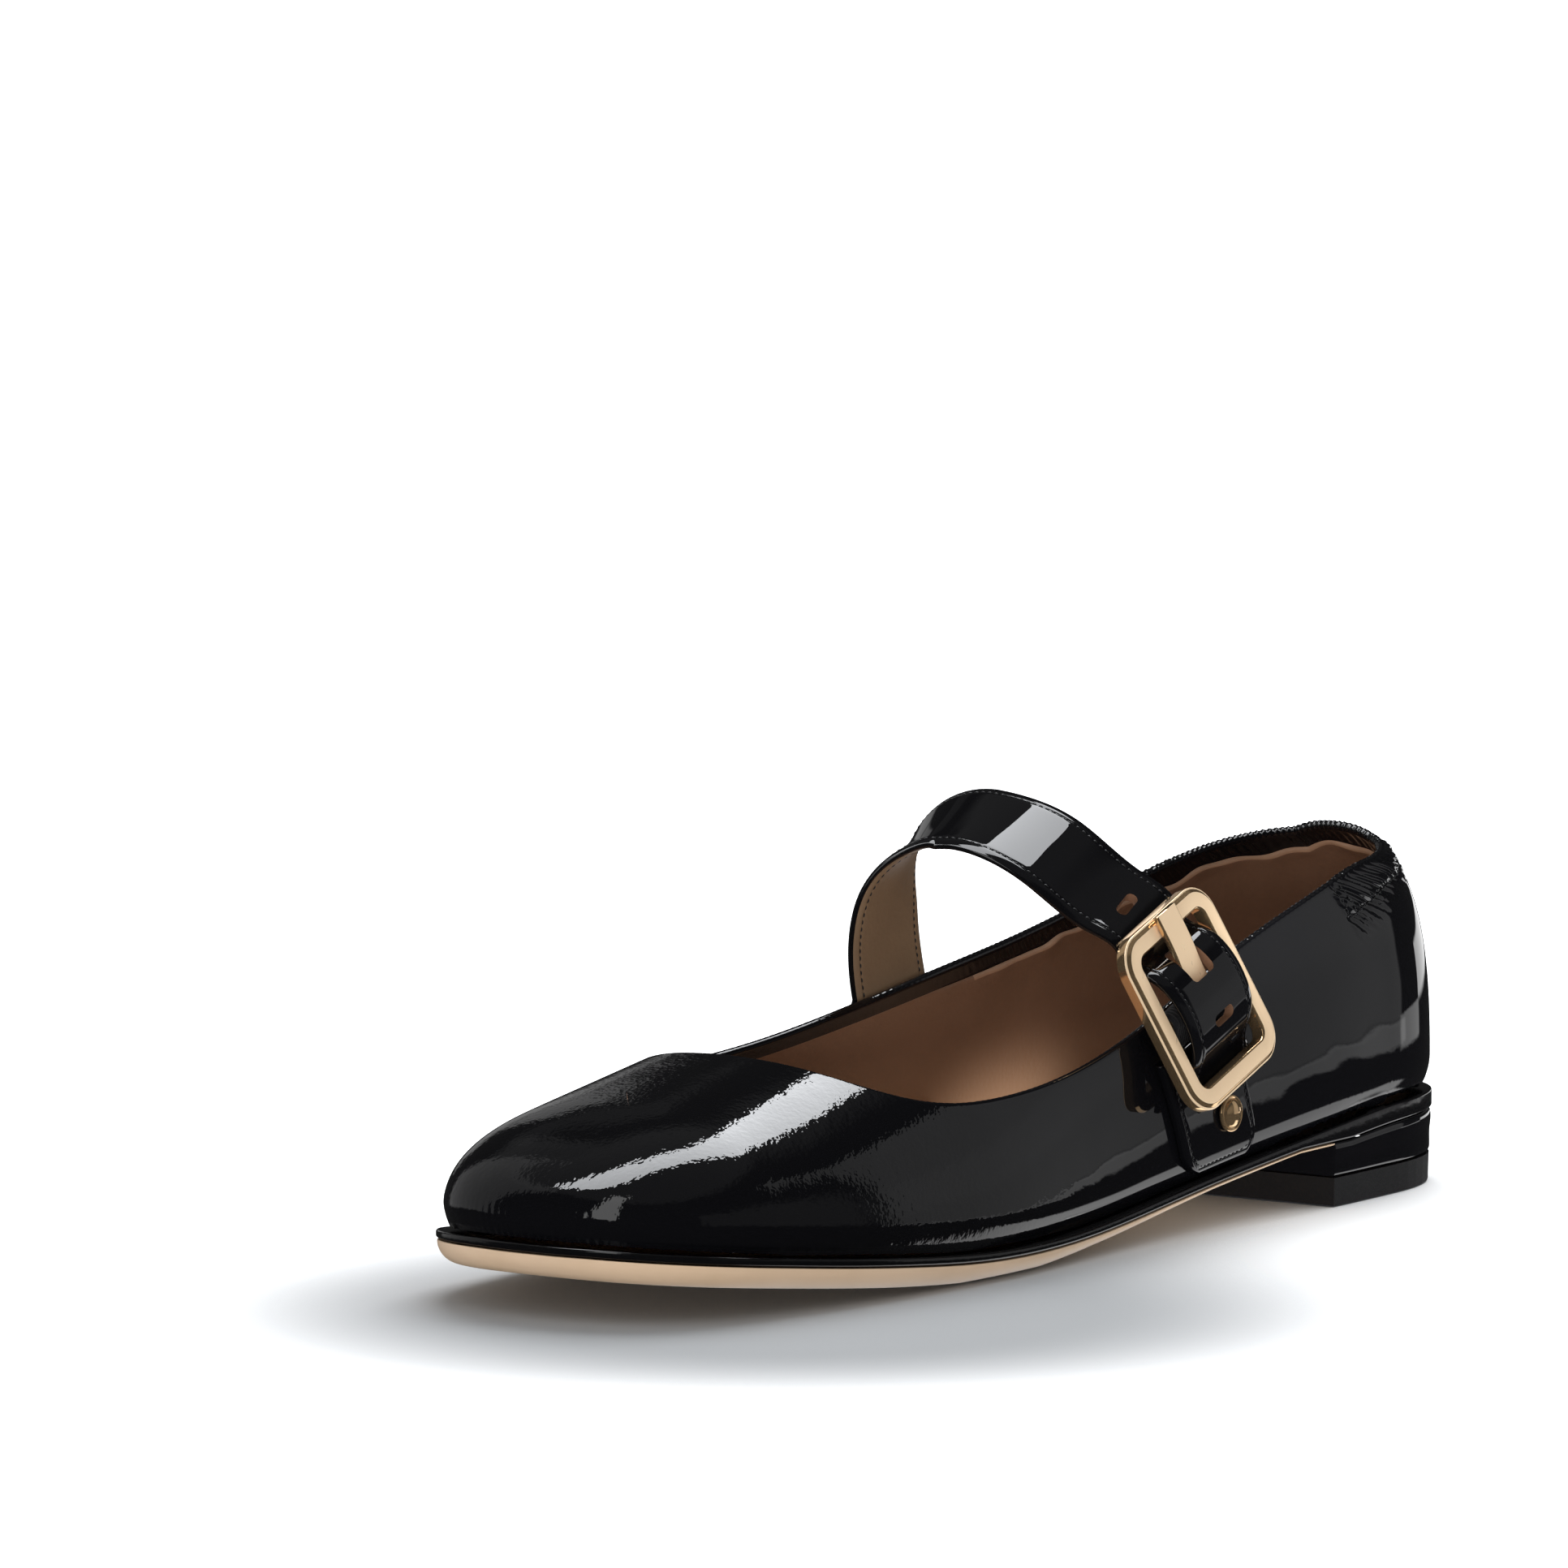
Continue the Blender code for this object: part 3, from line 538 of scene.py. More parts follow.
# A lighter tan for the top of the lining's rolled edge round the heel: a painted highlight.
lining_painted_highlight = tan_leather("lining edge with painted highlight", (0.42, 0.245, 0.15), (0.34, 0.195, 0.12), 0.36)
sock = tan_leather("tan insole leather", (0.36, 0.21, 0.125), (0.31, 0.175, 0.103), 0.45)
strap_back = tan_leather("taupe strap lining", (0.21, 0.135, 0.075), (0.17, 0.105, 0.058), 0.5)
edge_paint = painted_edge()
sole_tan = sole_leather()
black_rubber = rubber()
satin_gold = gold("satin pale gold", (0.95, 0.71, 0.46), 0.30, 0.32, 0.00001)
bright_gold = gold("polished pale gold", (0.92, 0.62, 0.34), 0.10, 0.94, 0.000004)
elastic_black = webbing()
stitch_thread = thread()


# ---------------------------------------------------------------- upper and lining

RIM = WALL / 2          # the folded edge is round
COLUMNS = 560           # from the toe to the heel on each side
ROWS = 68               # from the sole to the opening
VAMP_COLUMNS = round(VAMP_SHARE * COLUMNS)
COLLAR_FRONT = 46.5     # station where the gathered collar starts at the opening
COLLAR_LEAN = 0.58      # its front edge leans back this much for each millimetre down
COLLAR = [  # u, depth of the gathered collar below the opening's edge
    (0, 5.4),
    (16, 5.4),
    (30, 7.4),
    (44, 8.4),
]
GATHER = 0.50           # height of the collar's gathers
GATHER_PITCH = 2.3
PILLOW = 0.28           # how far the collar swells between the opening's edge and its seam
COLLAR_SEAM = 0.30      # depth of the seam under the collar
FRONT_SEAM = 0.22       # depth of the seam at its front edge
PUCKER_PITCH = 1.6      # of the folded edge
LASTING = 0.07          # height of the puckers over the toe's lower edge
LASTING_PITCH = 1.5
LOWER_EDGE = (0.02, 1.0, 2.2)   # how far in the lines of points across it lie
BAND = [  # u, how far the patent is turned in below the edge
    (0, 4.3),
    (40, 4.2),
    (75, 3.5),
    (110, 2.8),
    (200, 2.6),
]
BAND_ROWS = 8
CREASE = 0.07           # height of the turned band's creases
CREASE_PITCH = 2.1
ROLL = (0.30, 0.42)     # least height of the lining's rolled edge, and how much more it has in places
LINING_ROWS = 30
PAINTED_HIGHLIGHT_ROWS = 4           # rows of the rolled edge that carry a painted highlight
PAINTED_HIGHLIGHT_BEHIND = 100       # station behind which they are
PUFF = [  # distance below the band, how far the lining's rolled edge stands in, of its whole height
    (0.10, 0.15),
    (0.22, 0.60),
    (0.50, 0.90),
    (0.95, 1.00),
    (1.60, 0.86),
    (2.50, 0.55),
    (3.50, 0.27),
    (4.70, 0.08),
    (6.00, 0.00),
]


def wall_lines(side):
    """Lines up the wall: to the ridge over the vamp, to the opening along the quarter."""
    foot = outline(side, np.linspace(0, 1, COLUMNS))
    target = np.empty_like(foot)
    target[:VAMP_COLUMNS + 1, 0] = np.linspace(LENGTH - TOE_CAP, THROAT, VAMP_COLUMNS + 1)
    target[:VAMP_COLUMNS + 1, 1] = middle(target[:VAMP_COLUMNS + 1, 0])
    target[VAMP_COLUMNS:] = topline_points(side, np.linspace(0, 1, COLUMNS - VAMP_COLUMNS))
    line = foot[:, None] + (target - foot)[:, None] * np.linspace(0, 1, 240)[None, :, None]
    line = np.concatenate([line, last_height(line[..., 0], line[..., 1])[..., None]], -1)
    shares = np.linspace(0, 1, ROWS)
    shares = shares - ROW_CROWDING * np.sin(2 * np.pi * shares) / (2 * np.pi)
    lines = np.array([along(points, shares) for points in line])
    lengths = np.linalg.norm(np.diff(line, axis=1), axis=2).sum(1)
    inward = out_of(foot, side, -1.0) - foot
    lines[..., :2] += tuck(lines[..., 0], lines[..., 2])[..., None] * inward[:, None]
    return lines, lengths[:, None] * (1 - shares)


def skin_of_upper():
    """The outer surface of both sides as sides x columns x rows, depths below the edge, and faces."""
    grids, depths, faces = [], [], []
    for number, side in enumerate((LATERAL, MEDIAL)):
        lines, depth = wall_lines(side)
        grids.append(shoe(lines[..., 0], lines[..., 1], lines[..., 2]))
        depths.append(depth)
        side_faces = grid_faces(COLUMNS, ROWS, number * COLUMNS * ROWS)
        faces.append(side_faces[:, ::-1] if side == LATERAL else side_faces)
    return np.array(grids), np.array(depths), np.concatenate(faces)


def shared_normals(points, faces):
    """Normals that agree where the two sides meet."""
    first, index = same_places(points, 0.02)
    return point_normals(points[first], index[faces])[index]


def opening_loop(values):
    """Values along the opening's edge: from the throat along the outer side and back along the inner."""
    outer = values[0, VAMP_COLUMNS:, -1]
    inner = values[1, VAMP_COLUMNS:, -1]
    return np.concatenate([outer, inner[-2:0:-1]])


def distance_along(points):
    """Distance run along the columns' top ends, from the back of the heel."""
    run = distance_run(points[:, -1])
    return run[-1] - run


def bell(value, width):
    return np.exp(-(value / width) ** 2)


def uneven(run, pitch):
    """A phase that grows by a turn for each pitch, a little faster here and slower there."""
    return 2 * np.pi * run / pitch + 0.9 * np.sin(run / 3.1) + 0.6 * np.sin(run / 1.37 + 1.0)


def collar_relief(u, depth, run):
    """Height of the gathered collar over the plain wall."""
    front = COLLAR_FRONT - COLLAR_LEAN * depth
    line = straight(COLLAR, 1, u)
    inside = smooth_step(1.2, -0.6, u - front)
    phase = uneven(run + 0.9 * depth, GATHER_PITCH) / 2
    pleats = np.abs(np.sin(phase)) ** 0.7 - 0.6 + 0.25 * np.sin(phase * 0.63 + 2)
    below = smooth_step(line + 6.5, line - 0.5, depth)
    relief = GATHER * pleats * below * smooth_step(-0.2, 1.5, depth)
    pillow = PILLOW * np.sin(np.pi * np.clip(depth / line, 0, 1))
    seam = COLLAR_SEAM * bell(depth - line, 0.55) + FRONT_SEAM * bell(u - front + 0.6, 0.4) * (depth < line)
    return inside * (relief + pillow - seam)


def lasting_relief(u, depth, total, run):
    """Small puckers where the toe is pulled over the sole's edge."""
    rise = total - depth
    where = smooth_step(214, 236, u) * smooth_step(7.0, 1.0, rise)
    return LASTING * where * np.sin(uneven(run, LASTING_PITCH)) * (0.5 + 0.5 * np.sin(run / 4.3))


def make_upper():
    """The patent shell with its gathered collar and folded edge, its lining and its collar stitches."""
    grid, depth, faces = skin_of_upper()
    smooth = grid.reshape(-1, 3)
    normals = shared_normals(smooth, faces)
    if np.sum(normals[:, 2]) < 0:
        faces = faces[:, ::-1]
        normals = -normals
    normal_grid = normals.reshape(grid.shape)
    u = MID_U - grid[..., 0]
    relief = np.zeros(depth.shape)
    rims = []
    for side in range(2):
        run = distance_along(grid[side])
        foot_run = np.cumsum(np.linalg.norm(np.gradient(grid[side, :, 0], axis=0), axis=1))
        rims.append(run)
        relief[side] = collar_relief(u[side], depth[side], run[:, None])
        relief[side] += lasting_relief(u[side], depth[side], depth[side, :, :1], foot_run[:, None])
    drawn = grid + normal_grid * relief[..., None]
    points = drawn.reshape(-1, 3)
    rim_points, rim_faces = make_rim(grid, drawn, normal_grid, rims, len(points))
    points, faces = weld(np.concatenate([points, rim_points]), np.concatenate([faces, rim_faces]), near=0.02)
    shell = add_mesh("upper_shell", points, faces, [patent])
    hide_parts("upper")
    make_inside(grid, depth, normal_grid, rims)
    make_lower_edge(drawn, normal_grid)
    collar_stitches(drawn, depth, normal_grid)


def make_lower_edge(drawn, normal_grid):
    """The upper's cut edge, turned in over the sole all round."""
    foot, out = (np.concatenate([values[0, :, 0], values[1, -2:0:-1, 0]]) for values in (drawn, normal_grid))
    level = unit(out * (1, 1, 0))
    edge = strip("upper_lower_edge", [foot - level * inward for inward in LOWER_EDGE], [edge_paint])


def band_depth(u, run):
    """How far the folded patent reaches down inside; uneven round the heel."""
    back = smooth_step(95, 60, u)
    waves = 0.55 * np.sin(run / 3.4 + 0.5) + 0.25 * np.sin(run / 1.6)
    return straight(BAND, 1, u) + back * waves


def make_rim(grid, drawn, normal_grid, rims, start):
    """The patent's folded edge round the opening."""
    flat_edge, edge, out = opening_loop(grid), opening_loop(drawn), opening_loop(normal_grid)
    runs = np.concatenate([rims[0][VAMP_COLUMNS:], -rims[1][VAMP_COLUMNS:][-2:0:-1]])
    run = unit(np.roll(flat_edge, -1, 0) - np.roll(flat_edge, 1, 0))
    up = unit(np.cross(out, run))
    if up[len(up) // 2, 2] < 0:
        up = -up
    u = MID_U - flat_edge[:, 0]
    rear = smooth_step(46, 40, u)
    quarter = smooth_step(120, 90, u)
    puckers = 0.03 + 0.05 * quarter + 0.13 * rear
    ripple = puckers * np.sin(uneven(runs, PUCKER_PITCH - 0.45 * rear))
    loops = []
    for a in np.linspace(0, math.pi, 11):
        lift = (RIM + ripple * math.sin(a))[:, None]
        loops.append(edge + (out * (math.cos(a) - 1) * RIM) + up * math.sin(a) * lift
                     + out * (ripple * 0.6 * math.sin(2 * a))[:, None])
    rim = np.stack(loops, 1)
    rim = np.concatenate([rim, rim[:1]])
    rim_faces = grid_faces(len(rim), len(loops))
    flat = rim.reshape(-1, 3)
    rim_normals = point_normals(flat, rim_faces)
    if np.sum(rim_normals.reshape(rim.shape)[:-1, 0] * out) < 0:
        rim_faces = rim_faces[:, ::-1]
    return flat, rim_faces + start


def make_inside(grid, depth, normal_grid, rims):
    """The patent turned in below the edge and the lining, whose edge is puffed up round the heel and carries
    a painted highlight there.
    """
    skins, faces, kinds = [], [], []
    puff = np.array(PUFF)
    for side, sign in enumerate((1, -1)):
        u = MID_U - grid[side, :, -1, 0]
        run = rims[side] * sign
        band = band_depth(u, run)[:, None]
        back = smooth_step(125, 85, u)[:, None]
        soft = (0.5 + 0.3 * np.sin(run / 2.6) + 0.2 * np.sin(run / 1.35 + 1))[:, None]
        turned = np.linspace(0, 1, BAND_ROWS)
        start = band + puff[-1, 0]
        plain = start + (depth[side, :, :1] - start) * np.linspace(0, 1, LINING_ROWS + 1)[1:]
        below = np.concatenate([band * turned, band + puff[:, 0], plain], 1)
        creases = CREASE * back * np.sin(uneven(run, CREASE_PITCH))[:, None] * np.sin(np.pi * turned)
        roll = back * (ROLL[0] + ROLL[1] * soft) * puff[:, 1]
        inward = np.concatenate([creases, roll, plain * 0], 1) + 2 * RIM
        skin = np.empty((*below.shape, 3))
        for column in range(COLUMNS):
            down = depth[side, column, ::-1]
            place = read_at(below[column], down, grid[side, column, ::-1])
            way = read_at(below[column], down, normal_grid[side, column, ::-1])
            skin[column] = place - way * inward[column, :, None]
        ways = np.repeat(-normal_grid[side, :, -1:], below.shape[1], axis=1).reshape(-1, 3)
        points = skin.reshape(-1, 3)
        faces.append(facing(points, grid_faces(*below.shape), ways) + side * len(points))
        skins.append(points)
        kind = np.zeros((COLUMNS - 1, below.shape[1] - 1), int)
        kind[VAMP_COLUMNS:, :BAND_ROWS - 1] = 1
        # Painted highlight: the top rows of the rolled edge behind that station take the lighter tan.
        kind[u[:-1] < PAINTED_HIGHLIGHT_BEHIND, BAND_ROWS - 1:BAND_ROWS - 1 + PAINTED_HIGHLIGHT_ROWS] = 2
        kinds.append(kind.reshape(-1))
    points, faces = weld(np.concatenate(skins), np.concatenate(faces), near=0.02)
    piece = add_mesh("upper_lining", points, faces, [lining, patent, lining_painted_highlight], np.concatenate(kinds))


def wall_place(values, depth, column_u, wanted_u, wanted_depth):
    """Values of a side's grid at a station and a depth below the opening's edge."""
    columns = range(VAMP_COLUMNS + 20, COLUMNS)
    at = np.array([read_at(-wanted_depth, -depth[c], values[c]) for c in columns])
    stations = np.array([np.interp(-wanted_depth, -depth[c], column_u[c]) for c in columns])
    order = np.argsort(stations)
    return read_at(wanted_u, stations[order], at[order])


def collar_stitches(drawn, depth, normal_grid):
    """A row under the gathered collar and a double row down its front edge, on both sides."""
    for number, name in enumerate(("lateral", "medial")):
        u = MID_U - drawn[number, ..., 0]
        stations = np.linspace(COLLAR_FRONT - 5.2, 4, 60)
        rows = {f"collar_row_{name}": [(station, straight(COLLAR, 1, station)) for station in stations]}
        for order, back in enumerate((0.0, 2.2)):
            rows[f"collar_front_{order + 1}_{name}"] = [
                (COLLAR_FRONT - 0.6 - back - COLLAR_LEAN * down, down) for down in np.linspace(0.5, 7.2, 8)]
        for row, places in rows.items():
            path = [wall_place(drawn[number], depth[number], u, *place) for place in places]
            out = [wall_place(normal_grid[number], depth[number], u, *place) for place in places]
            stitches(row, np.array(path), unit(out), pitch=1.25)


# ---------------------------------------------------------------- sole, rand, heel and insole

SOLE = [  # u, thickness of the tan outsole, thickness of the black rand, how far the rand stands out
    (0, 0.9, 3.4, 0.3),
    (45, 0.9, 3.2, 0.4),
    (62, 0.9, 1.7, 0.7),
    (90, 1.2, 1.4, 1.0),
    (130, 2.2, 1.4, 1.2),
    (150, 3.1, 1.4, 1.3),
    (170, 3.5, 1.4, 1.3),
    (190, 3.7, 1.4, 1.3),
    (232, 3.8, 1.4, 1.2),
    (248, 3.8, 1.4, 0.5),
]
BREAST = 51.0
TOP_PIECE = 5.0
HEEL_TAPER = 0.6
SOLE_BEVEL = 3.2
SOLE_EDGE_LIFT = 0.5
INSOLE = 2.2
HEEL_SIDE = [  # share of the block's height from its top, how far it lies inside the plain block
    (0.00, 0.42),
    (0.02, 0.22),
    (0.05, 0.08),
    (0.09, 0.00),
    (0.50, 0.06),
    (0.88, 0.00),
    (0.93, 0.03),
    (0.97, 0.14),
    (0.99, 0.30),
    (1.00, 0.50),
]
SOLE_POINTS = 420
HEEL_ROWS = 60
BREAST_POINTS = 30
RAND_ROUND = 0.45
RAND_LAP = 5.0          # how far the rand reaches in between the upper and the sole


def sole_edge(side, inset):
    """The rand's outline, or what lies inside it by a distance that may change with the station."""
    points = outline(side, np.linspace(0, 1, SOLE_POINTS))
    u = points[:, 0]
    inset = inset(u) if callable(inset) else inset
    return out_of(points, side, straight(SOLE, 3, u) - inset)


def around(inset):
    """The whole outline as one closed loop, from the toe along the outer side and back."""
    return np.concatenate([sole_edge(LATERAL, inset), sole_edge(MEDIAL, inset)[-2:0:-1]])


def strip(name, loops, materials):
    """A band that runs round the shoe through a list of equal closed loops of points."""
    grid = np.stack(loops, 1)
    grid = np.concatenate([grid, grid[:1]])
    points = grid.reshape(-1, 3)
    outwards = np.repeat(grid[:, len(loops) // 2] - grid[:, 0], len(loops), axis=0)
    faces = facing(points, grid_faces(*grid.shape[:2]), outwards)
    return add_mesh(name, *weld(points, faces), materials)


def under_rand(u):
    return seat(u) - 2 * GAP - straight(SOLE, 2, u)


def make_rand():
    """The black layer under the upper, with round edges."""
    def thick(u):
        return straight(SOLE, 2, u)

    def radius(u):
        return np.minimum(thick(u) / 2, RAND_ROUND)

    def loop(inset, drop):
        u, y = around(inset).T
        return shoe(u, y, seat(u) - GAP - drop(u))

    def in_from_edge(u):
        return radius(u) * (1 - math.cos(angle))

    def rounding(u):
        return radius(u) * (1 - math.sin(angle))

    loops = [loop(RAND_LAP, lambda u: 0 * u)]
    for angle in np.radians(np.linspace(90, 0, 7)):
        loops.append(loop(in_from_edge, rounding))
    for angle in np.radians(np.linspace(0, 90, 7)):
        loops.append(loop(in_from_edge, lambda u: thick(u) - rounding(u)))
    loops.append(loop(RAND_LAP, thick))
    piece = strip("rand_lip", loops, [edge_paint])
    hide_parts("rand")


def ahead_of(points, station):
    """The part of an outline in front of a station, ending on it, evenly spaced."""
    front = points[points[:, 0] > station + 0.3]
    order = np.argsort(points[:, 0])
    end = np.interp(station, points[order, 0], points[order, 1])
    return along(np.concatenate([front, [[station, end]]]), np.linspace(0, 1, 320))


def make_outsole():
    """The tan leather sole, its lower edge rounded under."""
    def level(inset, share, drop):
        lateral, medial = (ahead_of(sole_edge(side, inset), BREAST + GAP) for side in (LATERAL, MEDIAL))
        u, y = (lateral + (medial - lateral) * share).T
        across = np.abs((y - middle(u)) / half_width(u))
        top = under_rand(u)
        low = np.maximum(top - straight(SOLE, 1, u), 0) + SOLE_EDGE_LIFT * np.clip(across - 0.5, 0, None) ** 2
        return shoe(u, y, top + (low - top) * drop)

    edge = [(0.32, 0.0), (0.22, 0.02), (0.2, 0.06)]
    edge += [(0.2 + SOLE_BEVEL * (1 - math.cos(a)) ** 0.9, 0.1 + 0.9 * math.sin(a))
             for a in np.linspace(0, math.pi / 2, 12)]
    columns = [level(0.6, share, 0.0) for share in np.linspace(0, 1, 9)]
    columns += [level(inset, 1.0, drop) for inset, drop in edge]
    columns += [level(0.3 + SOLE_BEVEL, share, 1.0) for share in np.linspace(1, 0, 17)]
    columns += [level(inset, 0.0, drop) for inset, drop in reversed(edge)]
    points, faces = ring_faces(list(np.stack(columns, 1)), capped=True)
    piece = add_mesh("sole_leather", points, faces, [sole_tan], sharp=50)
    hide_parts("outsole")


def make_insole():
    """The tan sock that fills the inside of the shoe."""
    def inset(u):
        return straight(SOLE, 3, u) + TUCK * (1 - INSOLE / TUCK_HEIGHT) ** 2 + WALL - 0.2

    lateral, medial = sole_edge(LATERAL, inset), sole_edge(MEDIAL, inset)
    plan = lateral[:, None] + (medial - lateral)[:, None] * np.linspace(0, 1, 25)[None, :, None]
    points = shoe(plan[..., 0], plan[..., 1], seat(plan[..., 0]) + INSOLE).reshape(-1, 3)
    faces = facing(points, grid_faces(*plan.shape[:2]), np.array([0, 0, 1.0]))
    piece = add_mesh("insole_sock", *weld(points, faces), [sock])
    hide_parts("insole")


def make_heel():
    """The heel's patent cover, a little hollow between its rounded upper and lower edges."""
    split = TOP_PIECE + GAP
    loops = []
    for share in np.linspace(0, 1, HEEL_ROWS):
        inset = 0.2 + (HEEL_TAPER * 0.7 - 0.2) * share + smooth_curve(HEEL_SIDE, 1, share)
        lateral, medial = (behind(sole_edge(side, inset), BREAST) for side in (LATERAL, MEDIAL))
        ring = np.concatenate([lateral, medial[::-1][1:]])
        breast = ring[:1] + (ring[-1:] - ring[:1]) * np.linspace(1, 0, BREAST_POINTS)[1:-1, None]
        ring = np.concatenate([ring, breast])
        u, y = ring.T
        loops.append(shoe(u, y, under_rand(u) + (split - under_rand(u)) * share))
    grid = np.stack(loops, 1)
    grid = np.concatenate([grid, grid[:1]])
    points = grid.reshape(-1, 3)
    faces = facing(points, grid_faces(*grid.shape[:2]), points - points.mean(0))
    piece = add_mesh("heel_cover", *weld(points, faces), [patent], sharp=40)
    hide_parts("heel_block")


def behind(points, station):
    """The part of an outline behind a station, starting on it."""
    rear = points[points[:, 0] < station - 0.3]
    order = np.argsort(points[:, 0])
    start = np.interp(station, points[order, 0], points[order, 1])
    return np.concatenate([[[station, start]], rear])


# ---------------------------------------------------------------- buckle

BUCKLE_AT = (97.2, -31.3, 41.6)
BUCKLE_TURN = 4.0       # degrees about the upright
BUCKLE_TILT = 21.0      # degrees, its heel side higher
BUCKLE_LEAN = 18.0      # degrees, its top in over the instep
BUCKLE = (29.8, 34.2)   # outer width and height
BUCKLE_BAR = (4.0, 3.0)  # width and depth of its bars
BUCKLE_ROUND = 6.0
BUCKLE_EDGE = 0.5
PIN_RADIUS = 1.1
PIN_OUT = -0.4
PRONG_WIDTH = 6.2
PRONG = 1.2
PIN_ROOM = 0.2


def buckle_axes():
    """Directions across the buckle towards the heel, down it, and out of its face."""
    turn, tilt, lean = (math.radians(angle) for angle in (BUCKLE_TURN, BUCKLE_TILT, BUCKLE_LEAN))
    across = np.array([math.cos(tilt) * math.cos(turn), math.cos(tilt) * math.sin(turn), math.sin(tilt)])
    down = np.array([0, 0, -1.0])
    down = unit(down - across * (down @ across))
    out = np.cross(down, across)
    down = down * math.cos(lean) + out * math.sin(lean)
    return across, down, np.cross(down, across)


def from_buckle(across, down, out):
    """Buckle measures to model coordinates."""
    across, down, out = np.broadcast_arrays(np.asarray(across, float), down, out)
    return shoe(*BUCKLE_AT) + np.stack([across, down, out], -1) @ np.array(buckle_axes())


def rounded_rectangle(width, height, radius, corner=7):
    """Points around a rectangle with round corners."""
    points = []
    for quarter, (right, up) in enumerate(((1, 1), (-1, 1), (-1, -1), (1, -1))):
        angles = (quarter + np.linspace(0, 1, corner)) * math.pi / 2
        centre = np.array([right * (width / 2 - radius), up * (height / 2 - radius)])
        points.append(centre + radius * np.stack([np.cos(angles), np.sin(angles)], 1))
    return np.concatenate(points)


def ring_faces(loops, capped):
    """Faces that join equal closed loops, capped at the ends or closed on themselves."""
    count, size = len(loops), len(loops[0])
    faces = []
    for i in range(count - 1 if capped else count):
        for j in range(size):
            k, n = (j + 1) % size, (i + 1) % count
            faces.append((i * size + j, i * size + k, n * size + k, n * size + j))
    if capped:
        faces.append(tuple(reversed(range(size))))
        faces.append(tuple((count - 1) * size + j for j in range(size)))
    points = np.concatenate(loops)
    quads = points[np.array([face for face in faces if len(face) == 4])] - points.mean(0)
    volume = np.sum(quads[:, 0] * np.cross(quads[:, 2] - quads[:, 0], quads[:, 3] - quads[:, 1]))
    if volume < 0:
        faces = [tuple(reversed(face)) for face in faces]
    return points, faces


def make_buckle():
    """The frame, with a raised satin face inside a step, and its pin."""
    width, height = BUCKLE
    bar, depth = BUCKLE_BAR
    edge, half = BUCKLE_EDGE, depth / 2
    profile = [  # distance in from the outer side, distance out of the middle plane, material
        (0.98, half, 1),
        (0.90, half - 0.03, 1),
        (0.42, half - 0.45, 1),
        (0.34, half - 0.50, 0),
        (0.14, half - 0.56, 0),
        (0.04, half - 0.64, 0),
        (0.00, half - 0.76, 1),
        (0.00, edge - half, 1),
        (edge, -half, 1),
        (bar - edge, -half, 1),
        (bar, edge - half, 1),
        (bar, half - edge, 1),
        (bar - 0.06, half - 0.28, 1),
        (bar - 0.20, half - 0.10, 1),
        (bar - 0.42, half, 0),
    ]
    kinds = [kind for *_, kind in profile]
    loops = []
    for inset, out, _ in profile:
        ring = rounded_rectangle(width - 2 * inset, height - 2 * inset, BUCKLE_ROUND - inset, 20)
        loops.append(from_buckle(ring[:, 0], ring[:, 1], out))
    points, faces = ring_faces(loops, capped=False)
    kinds = np.repeat(kinds, len(loops[0]))
    piece = add_mesh("buckle_ring", points, faces, [satin_gold, bright_gold], kinds, sharp=40)
    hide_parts("buckle_frame")
    angles = np.arange(32) * 2 * math.pi / 32
    reach = width / 2 - bar / 2
    pin = [from_buckle(end, PIN_RADIUS * np.cos(angles), PIN_OUT + PIN_RADIUS * np.sin(angles))
           for end in (-reach, reach)]
    bar_piece = add_mesh("buckle_pin", *ring_faces(pin, capped=True), [bright_gold], sharp=40)


def ribbon(name, skin, thickness, radius, materials, kinds=(0, 1, 2), relief=None):
    """A closed band with round long edges: kinds are the materials of its face, edges and back.

    Relief holds a height for each column of the skin, added on the face and on the back.
    """
    rows, columns = skin.shape[:2]
    relief = np.zeros(columns) if relief is None else relief
    run = np.gradient(skin, axis=0)
    wide = unit(np.gradient(skin, axis=1))
    normal = unit(np.cross(run, wide))
    half = thickness / 2
    angles = np.linspace(math.pi / 2, -math.pi / 2, 9)[1:-1]
    face, edge, back = kinds
    profile = [(j, 0.0, half + relief[j], face) for j in range(columns)]
    profile += [(columns - 1, radius * math.cos(a), (half + relief[-1]) * math.sin(a), edge) for a in angles]
    profile += [(j, 0.0, -half - relief[j], back) for j in reversed(range(columns))]
    profile += [(0, -radius * math.cos(a), (half + relief[0]) * math.sin(a), edge) for a in reversed(angles)]
    loops = [skin[:, j] + wide[:, j] * aside + normal[:, j] * out for j, aside, out, _ in profile]
    grid = np.stack(loops, 1)
    points, faces = ring_faces(list(grid), capped=True)
    order = [kind for *_, kind in profile]
    around_kinds = [kind if kind == after else edge for kind, after in zip(order, order[1:] + order[:1])]
    face_kinds = np.concatenate([np.tile(around_kinds, rows - 1), [edge, edge]])
    return add_mesh(name, points, faces, materials, face_kinds)


